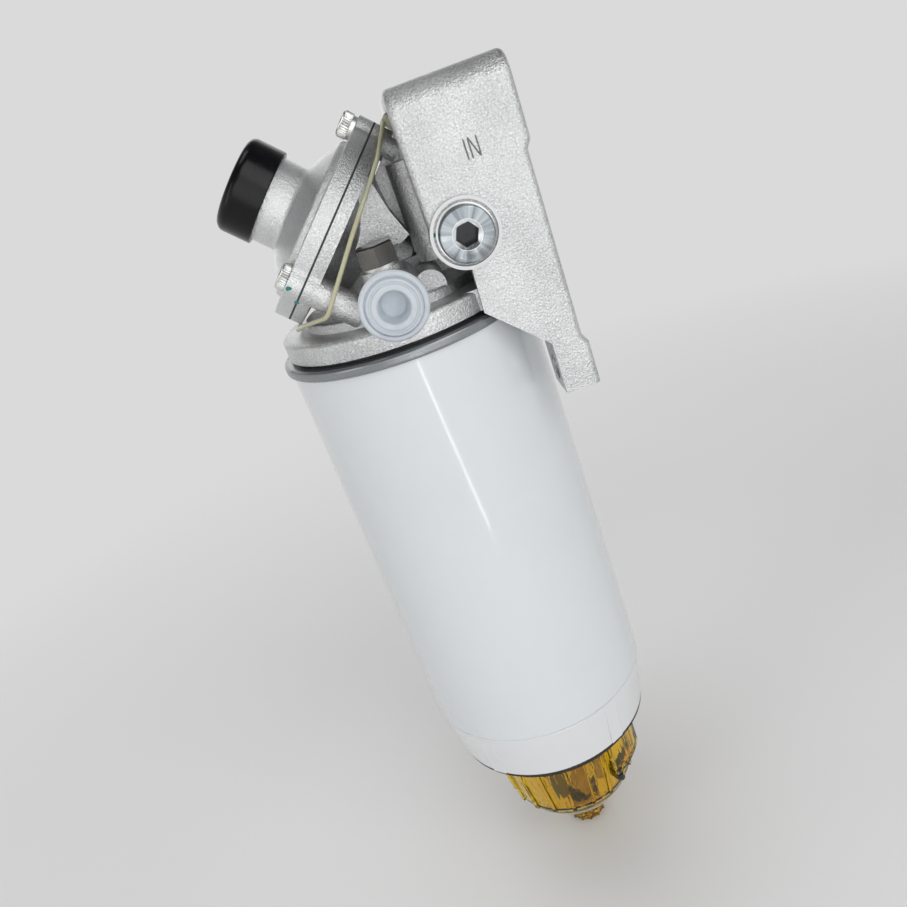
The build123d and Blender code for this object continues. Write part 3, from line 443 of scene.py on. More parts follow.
@dataclass(frozen=True)
class Finish(ABC):
    """A finish, which makes one material of its name."""

    name: str

    @abstractmethod
    def paint(self, sheet: Sheet) -> None:
        """Builds the finish.

        Args:
            sheet: The new material.
        """

    def make(self) -> bpy.types.Material:
        """Makes the finish at the first call, and gives it out again at later ones.

        Returns:
            The finish's material.
        """
        if self not in MATERIALS:
            sheet = Sheet(self.name)
            self.paint(sheet)
            MATERIALS[self] = sheet.material
        return MATERIALS[self]


MATERIALS: dict[Finish, bpy.types.Material] = {}


@dataclass(frozen=True)
class CastFinish(Finish):
    """Sand-cast aluminium, with turned faces on the pads and ports where a cutter has been, and bright
    grain specks whitened in colour, partly grain and partly painted glints.
    """

    light: Colour = (0.81, 0.815, 0.82)
    dark: Colour = (0.45, 0.455, 0.46)
    grain_scale: float = 1300.0
    grain_depth: float = 0.0003
    grain_strength: float = 0.85
    speck_glint_share: float = 0.7
    speck_shine: float = 0.12
    roughness: float = 0.36
    smudge_scale: float = 38.0
    smudge_dulling: float = 0.1
    machined: bool = True
    face_x: float = -0.05
    face_y: float = 52.4
    face_low_z: float = -12.0
    cut: Colour = (0.50, 0.505, 0.51)
    cut_scale: float = 1800.0
    cut_height: float = 0.12
    cut_roughness: float = 0.34

    def _cut_mask(self, sheet: Sheet) -> bpy.types.NodeSocket:
        """Masks the bracket's pads and the ports' faces.

        Args:
            sheet: The new material.

        Returns:
            1 on those faces, and 0 elsewhere.
        """
        graph = sheet.graph
        x, y, z = graph.split(sheet.place)
        pad = graph.math("GREATER_THAN", x, self.face_x * MM)
        port = graph.math("GREATER_THAN", graph.math("ABSOLUTE", y), self.face_y * MM)
        port = graph.times(port, graph.math("GREATER_THAN", z, self.face_low_z * MM))
        return graph.math("MAXIMUM", pad, port)

    def paint(self, sheet: Sheet) -> None:
        """Builds the finish.

        Args:
            sheet: The new material.
        """
        graph = sheet.graph
        grain = sheet.effect(Effect.CAST_GRAIN, self.grain_scale)
        smudge = sheet.effect(Effect.SMUDGES, self.smudge_scale)["Mask"]
        colour = graph.blend(grain["Tone"], self.dark, self.light)
        # Bright grain specks whitened: partly grain, partly painted glints
        colour = graph.blend(graph.times(grain["Speck"], self.speck_glint_share), colour, WHITE)
        dull = graph.plus(graph.times(smudge, self.smudge_dulling), self.roughness)
        rough = graph.plus(dull, graph.times(grain["Speck"], -self.speck_shine))
        height = grain["Height"]
        if self.machined:
            cut = self._cut_mask(sheet)
            lines = sheet.effect(Effect.TURNED_LINES, self.cut_scale)["Height"]
            colour = graph.blend(cut, colour, self.cut)
            rough = graph.mix(cut, rough, self.cut_roughness)
            height = graph.mix(cut, height, graph.times(lines, self.cut_height))
        normal = graph.bump(height, self.grain_strength, self.grain_depth)
        sheet.set(base_color=colour, metallic=1.0, roughness=rough, normal=normal)


@dataclass(frozen=True)
class TurnedFinish(Finish):
    """Metal that a lathe has skimmed about one axis, with fine rings and satin bands."""

    spindle: Spindle
    light: Colour
    dark: Colour
    line_scale: float = 2200.0
    grain_scale: float = 1700.0
    grain_tone: float = 0.4
    grain_height: float = 0.5
    roughness: float = 0.34
    dulling: float = 0.08
    shine: float = 0.05
    metallic: float = 0.95
    bump_strength: float = 0.35
    bump_depth: float = 0.00012

    def paint(self, sheet: Sheet) -> None:
        """Builds the finish.

        Args:
            sheet: The new material.
        """
        graph = sheet.graph
        lines = sheet.effect(Effect.TURNED_LINES, self.line_scale, sheet.about(self.spindle))
        grain = sheet.effect(Effect.CAST_GRAIN, self.grain_scale)
        share = graph.mix(self.grain_tone, lines["Tone"], grain["Tone"])
        height = graph.mix(self.grain_height, lines["Height"], grain["Height"])
        rough_band = (self.roughness + self.dulling, self.roughness - self.shine)
        sheet.set(
            base_color=graph.blend(share, self.dark, self.light),
            metallic=self.metallic,
            roughness=graph.spread(lines["Tone"], (0.0, 1.0), rough_band),
            normal=graph.bump(height, self.bump_strength, self.bump_depth),
        )


@dataclass(frozen=True)
class PlatedFinish(Finish):
    """Bright plated steel: a painted radial sheen in its colour, lathe lines, faint scratches and dull
    patches.
    """

    light: Colour
    dark: Colour
    tint: Colour = (0.72, 0.76, 0.72)
    tint_share: float = 0.5
    roughness: float = 0.2
    rays: float = 2.6
    line_scale: float = 3200.0
    line_strength: float = 0.3
    line_depth: float = 0.00006
    smudge_scale: float = 120.0
    smudge_dulling: float = 0.1
    scratch_scale: float = 700.0
    scratch_dulling: float = 0.08

    def _centred(self, sheet: Sheet) -> bpy.types.NodeSocket:
        """Returns the coordinates whose Z is the axis of the sheen and the lines."""
        return sheet.place

    def _with_painted_light(self, sheet: Sheet, vector: Source, colour: Source) -> Source:
        """Returns the colour with any painted light laid on top of the plating; here there is none."""
        return colour

    def paint(self, sheet: Sheet) -> None:
        """Builds the finish.

        Args:
            sheet: The new material.
        """
        graph = sheet.graph
        vector = self._centred(sheet)
        sheen = sheet.effect(Effect.RADIAL_SHEEN, self.rays, vector)["Tone"]
        lines = sheet.effect(Effect.TURNED_LINES, self.line_scale, vector)["Height"]
        smudge = sheet.effect(Effect.SMUDGES, self.smudge_scale)["Mask"]
        scratch = sheet.effect(Effect.SCRATCHES, self.scratch_scale)["Mask"]
        # Painted sheen: the colour runs between dark and light with the angle about the axis
        colour = graph.blend(sheen, self.dark, self.light)
        colour = graph.blend(graph.times(smudge, self.tint_share), colour, self.tint)
        dull = graph.times(smudge, self.smudge_dulling)
        worn = graph.plus(dull, graph.times(scratch, self.scratch_dulling))
        sheet.set(
            base_color=self._with_painted_light(sheet, vector, colour),
            metallic=1.0,
            roughness=graph.plus(worn, self.roughness),
            normal=graph.bump(lines, self.line_strength, self.line_depth),
        )


@dataclass(frozen=True)
class PlugFinish(PlatedFinish):
    """Plating of the port plugs, with painted shade, nearly black, inside the sockets and a painted
    highlight on the countersinks.
    """

    near: Point = (CAN_AXIS_X, 0.0, 0.0)
    far: Point = (CAN_AXIS_X, 0.0, 0.0)
    cone_r: float = 5.6
    # Painted highlight of the countersink, and painted shade inside the socket
    cone_highlight: Colour = (0.90, 0.92, 0.93)
    cone_highlight_share: float = 0.8
    socket_r: float = 4.75
    socket_top_y: float = 56.1
    socket_shade: Colour = (0.012, 0.013, 0.015)
    socket_shade_share: float = 0.97

    def _centred(self, sheet: Sheet) -> bpy.types.NodeSocket:
        """Counts places from the axis of the plug on that side of the head.

        Args:
            sheet: The new material.

        Returns:
            The places as (x, z, y), with the plug's axis as Z.
        """
        graph = sheet.graph
        side = graph.math("GREATER_THAN", graph.split(sheet.place)[1], 0.0)
        ends = {4: tuple(MM * v for v in self.near), 5: tuple(MM * v for v in self.far)}
        centre = graph.add("ShaderNodeMix", {0: side, **ends}, data_type="VECTOR").outputs[1]
        x, y, z = graph.split(graph.vector_math("SUBTRACT", sheet.place, centre)[0])
        return graph.join(x, z, y)

    def _with_painted_light(self, sheet: Sheet, vector: Source, colour: Source) -> Source:
        """Lays the countersink's painted highlight and the socket's painted shade over the plating.

        Args:
            sheet: The new material.
            vector: The places from the plug's axis.
            colour: The plating's colour.

        Returns:
            The colour with both on it.
        """
        graph = sheet.graph
        across, up, _ = graph.split(vector)
        reach = graph.reach(across, up)
        height = graph.math("ABSOLUTE", graph.split(sheet.place)[1])
        cone_highlight_mask = graph.math("LESS_THAN", reach, self.cone_r * MM)
        sunk = graph.math("LESS_THAN", height, self.socket_top_y * MM)
        socket = graph.times(graph.math("LESS_THAN", reach, self.socket_r * MM), sunk)
        # Painted highlight on the countersink, and painted shade inside the socket where the hole lies in
        # shade
        colour = graph.blend(graph.times(cone_highlight_mask, self.cone_highlight_share), colour, self.cone_highlight)
        return graph.blend(graph.times(socket, self.socket_shade_share), colour, self.socket_shade)


@dataclass(frozen=True)
class EnamelFinish(Finish):
    """Stoved paint over sheet metal: a gloss coat with a trace of orange peel and handling marks."""

    colour: Colour
    shade: Colour
    roughness: float = 0.14
    coat: float = 0.7
    coat_roughness: float = 0.06
    peel_scale: float = 420.0
    peel_strength: float = 0.25
    peel_depth: float = 0.00005
    smudge_scale: float = 14.0
    smudge_share: float = 0.5
    smudge_dulling: float = 0.04

    def paint(self, sheet: Sheet) -> None:
        """Builds the finish.

        Args:
            sheet: The new material.
        """
        graph = sheet.graph
        peel = graph.noise(sheet.place, self.peel_scale, Grit.SOFT)
        smudge = sheet.effect(Effect.SMUDGES, self.smudge_scale)["Mask"]
        sheet.set(
            base_color=graph.blend(graph.times(smudge, self.smudge_share), self.colour, self.shade),
            roughness=graph.plus(graph.times(smudge, self.smudge_dulling), self.roughness),
            coat_weight=self.coat,
            coat_roughness=self.coat_roughness,
            normal=graph.bump(peel, self.peel_strength, self.peel_depth),
        )


@dataclass(frozen=True)
class MouldedFinish(Finish):
    """Moulded plastic, from satin to gloss, with a light skin texture and optional milkiness."""

    colour: Colour
    shade: Colour
    roughness: float = 0.3
    skin_scale: float = 900.0
    skin_strength: float = 0.3
    skin_depth: float = 0.00004
    coat: float = 0.0
    coat_roughness: float = 0.12
    milk: float = 0.0
    milk_depth: float = 0.004
    gloss: float = 0.5
    smudge_scale: float = 60.0
    smudge_dulling: float = 0.09
    scratch_scale: float = 500.0
    scratch_dulling: float = 0.06

    def paint(self, sheet: Sheet) -> None:
        """Builds the finish.

        Args:
            sheet: The new material.
        """
        graph = sheet.graph
        skin = graph.noise(sheet.place, self.skin_scale, Grit.MIXED)
        smudge = sheet.effect(Effect.SMUDGES, self.smudge_scale)["Mask"]
        scratch = sheet.effect(Effect.SCRATCHES, self.scratch_scale)["Mask"]
        dull = graph.times(smudge, self.smudge_dulling)
        worn = graph.plus(dull, graph.times(scratch, self.scratch_dulling))
        sheet.set(
            base_color=graph.blend(smudge, self.colour, self.shade),
            roughness=graph.plus(worn, self.roughness),
            coat_weight=self.coat,
            coat_roughness=self.coat_roughness,
            subsurface_weight=self.milk,
            subsurface_scale=self.milk_depth,
            specular_ior_level=self.gloss,
            normal=graph.bump(skin, self.skin_strength, self.skin_depth),
        )


@dataclass(frozen=True)
class RubberFinish(Finish):
    """Black rubber with a matte bloom and a fine skin."""

    colour: Colour = (0.018, 0.018, 0.019)
    bloom: Colour = (0.045, 0.045, 0.046)
    roughness_band: Band = (0.52, 0.70)
    skin_scale: float = 1400.0
    skin_band: Band = (0.3, 0.7)
    skin_strength: float = 0.35
    skin_depth: float = 0.00006
    smudge_scale: float = 70.0

    def paint(self, sheet: Sheet) -> None:
        """Builds the finish.

        Args:
            sheet: The new material.
        """
        graph = sheet.graph
        skin = graph.noise(sheet.place, self.skin_scale, Grit.MIXED)
        smudge = sheet.effect(Effect.SMUDGES, self.smudge_scale)["Mask"]
        sheet.set(
            base_color=graph.blend(smudge, self.colour, self.bloom),
            roughness=graph.spread(skin, self.skin_band, self.roughness_band),
            normal=graph.bump(skin, self.skin_strength, self.skin_depth),
        )


@dataclass(frozen=True)
class ClearFinish(Finish):
    """Clear amber moulding: tinted, fully see-through, with faint flow lines down the wall."""

    colour: Colour = (1.0, 0.80, 0.10)
    shade: Colour = (1.0, 0.70, 0.04)
    shade_scale: float = 45.0
    roughness: float = 0.012
    ior: float = 1.42
    flow_scale: float = 330.0
    flow_stretch: Point = (1.0, 1.0, 0.07)
    flow_strength: float = 0.5
    flow_depth: float = 0.0008

    def paint(self, sheet: Sheet) -> None:
        """Builds the finish.

        Args:
            sheet: The new material.
        """
        graph = sheet.graph
        inputs = {"Vector": sheet.place, "Scale": self.flow_stretch}
        stretched = graph.add("ShaderNodeMapping", inputs).outputs[0]
        flow = graph.noise(stretched, self.flow_scale, Grit.SMOOTH)
        tone = graph.spread(graph.noise(sheet.place, self.shade_scale, Grit.MIXED), MIDDLE)
        sheet.set(
            base_color=graph.blend(tone, self.colour, self.shade),
            roughness=self.roughness,
            transmission_weight=1.0,
            ior=self.ior,
            normal=graph.bump(flow, self.flow_strength, self.flow_depth),
        )


@dataclass(frozen=True)
class BaffleFinish(Finish):
    """Glossy brown moulding, with painted shade, nearly black, on the near left side where its legs lie in
    shade.
    """

    pale: Colour = (0.42, 0.29, 0.05)
    painted_shade_and_streak_colour: Colour = (0.02, 0.015, 0.006)
    shade_x: float = -68.0
    shade_y: float = -8.0
    streak_scale: float = 300.0
    streak_share: float = 0.35
    streak_strength: float = 0.3
    streak_depth: float = 0.0001
    roughness: float = 0.22
    coat: float = 0.3
    coat_roughness: float = 0.1

    def paint(self, sheet: Sheet) -> None:
        """Builds the finish.

        Args:
            sheet: The new material.
        """
        graph = sheet.graph
        x, y, _ = graph.split(sheet.place)
        # Painted shade: the legs on the near left side are coloured nearly black where they lie in shade;
        # random streaks darken towards the same colour
        left = graph.math("LESS_THAN", x, self.shade_x * MM)
        near = graph.math("LESS_THAN", y, self.shade_y * MM)
        streak = graph.noise(sheet.place, self.streak_scale, Grit.MIXED)
        worn = graph.times(graph.spread(streak, MIDDLE), self.streak_share)
        dark = graph.math("MAXIMUM", graph.times(left, near), worn)
        sheet.set(
            base_color=graph.blend(dark, self.pale, self.painted_shade_and_streak_colour),
            roughness=self.roughness,
            coat_weight=self.coat,
            coat_roughness=self.coat_roughness,
            normal=graph.bump(streak, self.streak_strength, self.streak_depth),
        )


@dataclass(frozen=True)
class PaperFinish(Finish):
    """Resin-treated filter paper: warm fibres over wide, darker patches."""

    colour: Colour = (0.78, 0.70, 0.50)
    shade: Colour = (0.62, 0.52, 0.33)
    roughness: float = 0.85
    fibre_scale: float = 2600.0
    fibre_strength: float = 0.5
    fibre_depth: float = 0.00015
    patch_scale: float = 60.0
    patch_share: float = 0.4

    def paint(self, sheet: Sheet) -> None:
        """Builds the finish.

        Args:
            sheet: The new material.
        """
        graph = sheet.graph
        fibre = graph.noise(sheet.place, self.fibre_scale, Grit.SHARP)
        patch = graph.noise(sheet.place, self.patch_scale, Grit.MIXED)
        share = graph.spread(graph.mix(self.patch_share, fibre, patch), MIDDLE)
        sheet.set(
            base_color=graph.blend(share, self.shade, self.colour),
            roughness=self.roughness,
            normal=graph.bump(fibre, self.fibre_strength, self.fibre_depth),
        )


@dataclass(frozen=True)
class MarkerFinish(Finish):
    """A dab of marker paint, darker where it pooled."""

    colour: Colour = (0.01, 0.30, 0.25)
    shade: Colour = (0.005, 0.18, 0.16)
    roughness: float = 0.38
    pool_scale: float = 900.0
    pool_strength: float = 0.4
    pool_depth: float = 0.0001

    def paint(self, sheet: Sheet) -> None:
        """Builds the finish.

        Args:
            sheet: The new material.
        """
        graph = sheet.graph
        pool = graph.noise(sheet.place, self.pool_scale, Grit.SOFT)
        sheet.set(
            base_color=graph.blend(graph.spread(pool, MIDDLE), self.shade, self.colour),
            roughness=self.roughness,
            normal=graph.bump(pool, self.pool_strength, self.pool_depth),
        )


# Surfaces


def mended(mesh: bpy.types.Mesh) -> bpy.types.Mesh:
    """Merges a mesh's doubles, closes its poles, turns its faces outwards and shades it smooth.

    Args:
        mesh: The mesh, which is changed.

    Returns:
        The same mesh.
    """
    form = bmesh.new()
    form.from_mesh(mesh)
    bmesh.ops.remove_doubles(form, verts=form.verts, dist=MERGE_DISTANCE)
    bmesh.ops.dissolve_degenerate(form, edges=form.edges, dist=EMPTY_EDGE)
    bmesh.ops.recalc_face_normals(form, faces=form.faces)
    form.to_mesh(mesh)
    form.free()
    mesh.polygons.foreach_set("use_smooth", np.ones(len(mesh.polygons), bool))
    mesh.set_sharp_from_angle(angle=float(np.radians(SHARP_ANGLE)))
    mesh.update()
    return mesh


def grid_mesh(name: str, points: np.ndarray, wrap_rows: bool, wrap_columns: bool) -> bpy.types.Mesh:
    """Makes a mesh of quads from a grid of points.

    Args:
        name: The mesh's name.
        points: An array of rows x columns x 3, in millimetres.
        wrap_rows: Whether the last row joins the first.
        wrap_columns: Whether the last column joins the first.

    Returns:
        The mesh, in metres, mended.
    """
    rows, columns = points.shape[:2]
    row = np.arange(rows if wrap_rows else rows - 1)
    column = np.arange(columns if wrap_columns else columns - 1)
    r, c = np.meshgrid(row, column, indexing="ij")
    r_next, c_next = (r + 1) % rows, (c + 1) % columns
    corners = (r * columns + c, r_next * columns + c, r_next * columns + c_next, r * columns + c_next)
    quads = np.stack(corners, axis=-1).reshape(-1, 4)
    mesh = bpy.data.meshes.new(name)
    mesh.from_pydata((points.reshape(-1, 3) * MM).tolist(), [], quads.tolist())
    return mended(mesh)


def rounded(corners: Sequence[Point], steps: int = 5) -> np.ndarray:
    """Rounds the corners of an open or closed line in a plane.

    At each corner the arc is the circle of the given radius that touches both of its runs:
    it starts at radius / tan(half the corner's angle) before the corner.

    Args:
        corners: Points as (across, along, radius).
        steps: Points on each arc.

    Returns:
        The rounded line as an array of points.
    """
    data = np.array(corners, float)
    line = []
    for index, (x, y, radius) in enumerate(data):
        if radius <= 0 or index in (0, len(data) - 1):
            line.append(np.array([[x, y]]))
            continue
        corner = data[index, :2]
        back = data[index - 1, :2] - corner
        ahead = data[index + 1, :2] - corner
        back /= np.linalg.norm(back)
        ahead /= np.linalg.norm(ahead)
        half = 0.5 * np.arccos(np.clip(back @ ahead, -1.0, 1.0))
        reach = radius / np.tan(half)
        middle = corner + (back + ahead) / np.linalg.norm(back + ahead) * radius / np.sin(half)
        first = corner + back * reach - middle
        last = corner + ahead * reach - middle
        share = np.linspace(0.0, 1.0, steps)[:, None]
        angle = np.arccos(np.clip(first @ last / radius**2, -1.0, 1.0))
        weights = np.sin((1 - share) * angle), np.sin(share * angle)
        line.append(middle + (weights[0] * first + weights[1] * last) / np.sin(angle))
    return np.concatenate(line)


def full_turn(steps: int) -> np.ndarray:
    """Returns the angles of that many equal steps round a full turn."""
    return np.linspace(0.0, 2 * np.pi, steps, endpoint=False)


def revolved(name: str, profile: np.ndarray, spindle: Spindle, segments: int) -> bpy.types.Mesh:
    """Carries a closed profile round an axis.

    A point is origin + radius (cos t across + sin t side) + height along, for the profile's
    (radius, height) and t from 0 to a full turn.

    Args:
        name: The mesh's name.
        profile: Points as (radius, height), in millimetres, closed by joining last to first.
        spindle: The axis.
        segments: Steps round the turn.

    Returns:
        The mesh.
    """
    across, side, along = spindle.frame_axes()
    turn = full_turn(segments)[:, None, None]
    radius, height = profile[None, :, :1], profile[None, :, 1:]
    spokes = np.cos(turn) * across + np.sin(turn) * side
    return grid_mesh(name, np.array(spindle.origin) + radius * spokes + height * along, True, True)


@dataclass(frozen=True)
class Coil:
    """A coil spring of round wire.

    Attributes:
        radius: The coil's middle radius.
        wire: The wire's radius.
        turns: The number of turns.
        turn_steps: Steps along each turn.
        wire_steps: Steps round the wire.
    """

    radius: float
    wire: float
    turns: int
    turn_steps: int = 40
    wire_steps: int = 14

    def mesh(self, name: str, spindle: Spindle, length: float) -> bpy.types.Mesh:
        """Works out the coil.

        The wire's middle at the turn t is origin + radius (cos t across + sin t side) + length t /
        (2 pi turns) along. Round it, the skin is wire (cos u outward + sin u along), and the
        wire's radius falls to nothing in the last step at each end, which closes it.

        Args:
            name: The mesh's name.
            spindle: The spring's axis, with its origin at the first turn's middle.
            length: The distance between the first and the last turn's middles.

        Returns:
            The mesh.
        """
        across, side, along = spindle.frame_axes()
        whole = 2 * np.pi * self.turns
        turn = np.linspace(0.0, whole, self.turn_steps * self.turns + 1)[:, None, None]
        around = full_turn(self.wire_steps)[None, :, None]
        outward = np.cos(turn) * across + np.sin(turn) * side
        thick = np.full(turn.shape, self.wire)
        thick[[0, -1]] = 0.0
        middle = np.array(spindle.origin) + self.radius * outward + length * turn / whole * along
        skin = thick * (np.cos(around) * outward + np.sin(around) * along)
        return grid_mesh(name, middle + skin, False, True)


@dataclass(frozen=True)
class Dab:
    """A drop of paint on a surface, closed underneath.

    Attributes:
        middle: Its place, in millimetres.
        normal: The surface's normal there.
        radius: Its middle radius.
        height: Its height.
        wobble: How uneven its outline is.
        steps: Steps round it.
        shares: The shares of the way out at which its rings lie, and back inside the surface.
        lifts: The rings' heights, as shares of its height.
    """

    middle: Point
    normal: Point
    radius: float
    height: float
    wobble: float
    steps: int = 28
    shares: tuple[float, ...] = (0.0, 0.3, 0.55, 0.75, 0.9, 1.0, 0.9, 0.0)
    lifts: tuple[float, ...] = (1.0, 0.91, 0.7, 0.44, 0.19, 0.0, -0.4, -0.4)

    def mesh(self, name: str) -> bpy.types.Mesh:
        """Works out the drop.

        Its outline is radius (1 + wobble (cos 2t + sin 3t)) at the angle t, and its height at the
        share s of the way out is close to height (1 - s^2), so that it thins towards its rim.

        Args:
            name: The mesh's name.

        Returns:
            The mesh.
        """
        up = np.array(self.normal) / np.linalg.norm(self.normal)
        side = np.cross(up, (0.0, 0.0, 1.0))
        side /= np.linalg.norm(side)
        ahead = np.cross(up, side)
        turn = full_turn(self.steps)[None, :, None]
        share = np.array(self.shares)[:, None, None]
        lift = np.array(self.lifts)[:, None, None]
        reach = self.radius * share * (1.0 + self.wobble * (np.cos(2 * turn) + np.sin(3 * turn)))
        flat = reach * (np.cos(turn) * side + np.sin(turn) * ahead)
        return grid_mesh(name, np.array(self.middle) + flat + self.height * lift * up, False, True)


def joined(name: str, meshes: Sequence[bpy.types.Mesh]) -> bpy.types.Mesh:
    """Puts several meshes into one, each shell kept as it is.

    Args:
        name: The new mesh's name.
        meshes: The meshes, which are removed afterwards.

    Returns:
        The new mesh.
    """
    form = bmesh.new()
    for mesh in meshes:
        form.from_mesh(mesh)
    whole = bpy.data.meshes.new(name)
    form.to_mesh(whole)
    form.free()
    for mesh in meshes:
        bpy.data.meshes.remove(mesh)
    whole.set_sharp_from_angle(angle=float(np.radians(SHARP_ANGLE)))
    return whole


def piece(name: str, mesh: bpy.types.Mesh, body: str, finish: Finish) -> bpy.types.Object:
    """Puts a mesh into the scene as a piece of the object.

    Args:
        name: The piece's name.
        mesh: Its mesh, in place.
        body: The body that it moves with.
        finish: Its finish.

    Returns:
        The new object.
    """
    mesh.materials.clear()
    mesh.materials.append(finish.make())
    thing = bpy.data.objects.new(name, mesh)
    bpy.context.scene.collection.objects.link(thing)
    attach(thing, body)
    LOG.info("piece %s: %d faces, body %s", name, len(mesh.polygons), body)
    return thing


def dress(finish: Finish, *nodes: str) -> None:
    """Gives a finish to CAD nodes.

    Args:
        finish: The finish.
        *nodes: The nodes' names.
    """
    for name in nodes:
        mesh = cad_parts[name].data
        mesh.materials.clear()
        mesh.materials.append(finish.make())
        LOG.info("node %s: finish %s", name, finish.name)


# Sub-assemblies


@dataclass
class FilterHead:
    """The cast head with its bracket, the port's mark, coloured dark as painted shade, and a paint dab on
    it.
    """

    cheek_y: float = -50.0
    stroke_w: float = 0.62
    stroke_lift: float = 0.10
    stroke_steps: int = 13
    stroke_cross_steps: int = 9
    stroke_squareness: int = 10
    letter_low: float = 36.6
    letter_high: float = 44.4
    letter_i_x: float = -23.2
    letter_n_left_x: float = -21.6
    letter_n_right_x: float = -18.6
    dab: Dab = Dab((-43.3, -49.9, 16.6), (0.0, -1.0, 0.0), radius=0.85, height=0.16, wobble=0.12)

    def build(self) -> None:
        """Dresses the casting and its nipple, and adds the port mark and the paint dab."""
        dress(CastFinish("CastAluminium"), "head_casting")
        nipple = PlatedFinish("NippleSteel", (0.83, 0.84, 0.85), (0.50, 0.52, 0.53), roughness=0.24)
        dress(nipple, "threaded_nipple")
        self._port_mark()
        mesh = self.dab.mesh("paint_dab_port")
        piece("paint_dab_port", mesh, "head", MarkerFinish("DabPort"))

    def _stroke(self, start: tuple[float, float], end: tuple[float, float]) -> np.ndarray:
        """Works out one stroke of a letter on the cheek.

        The stroke is a low bead. At the share s along it and u across it, from -1 to 1, its
        half-width is w t / 2 and its height h t cos(pi u / 2), where t is the square root of
        1 - |2s - 1|^squareness, so that its ends are round.

        Args:
            start: The stroke's first end, as (x, z).
            end: Its last end.

        Returns:
            A grid of points.
        """
        first, last = np.array(start), np.array(end)
        run = last - first
        side = np.array([-run[1], run[0]]) / np.linalg.norm(run)
        along = np.linspace(0.0, 1.0, self.stroke_steps)[:, None, None]
        across = np.linspace(-1.0, 1.0, self.stroke_cross_steps)[None, :, None]
        inside = 1.0 - np.abs(2 * along - 1) ** self.stroke_squareness
        taper = np.sqrt(np.clip(inside, 0.0, 1.0))
        flat = first + run * along + side * across * taper * self.stroke_w / 2
        lift = self.stroke_lift * np.cos(np.pi / 2 * across) * taper
        return np.stack([flat[..., 0], self.cheek_y - lift[..., 0], flat[..., 1]], axis=-1)

    def _port_mark(self) -> None:
        """Adds the two letters of the inlet mark to the near cheek, as low beads coloured dark as painted
        shade.
        """
        low, high = self.letter_low, self.letter_high
        left, right = self.letter_n_left_x, self.letter_n_right_x
        strokes = (
            ((self.letter_i_x, low), (self.letter_i_x, high)),
            ((left, low), (left, high)),
            ((left, high), (right, low)),
            ((right, low), (right, high)),
        )
        # Painted shade: the strokes are coloured dark to stand for the shade in engraved letters
        finish = CastFinish(
            "PortMarkPaintedShade",
            light=(0.30, 0.30, 0.30),
            dark=(0.17, 0.17, 0.17),
            roughness=0.6,
            machined=False,
        )
        for number, (start, end) in enumerate(strokes, 1):
            mesh = grid_mesh(f"port_mark_{number}", self._stroke(start, end), False, False)
            piece(f"port_mark_{number}", mesh, "head", finish)


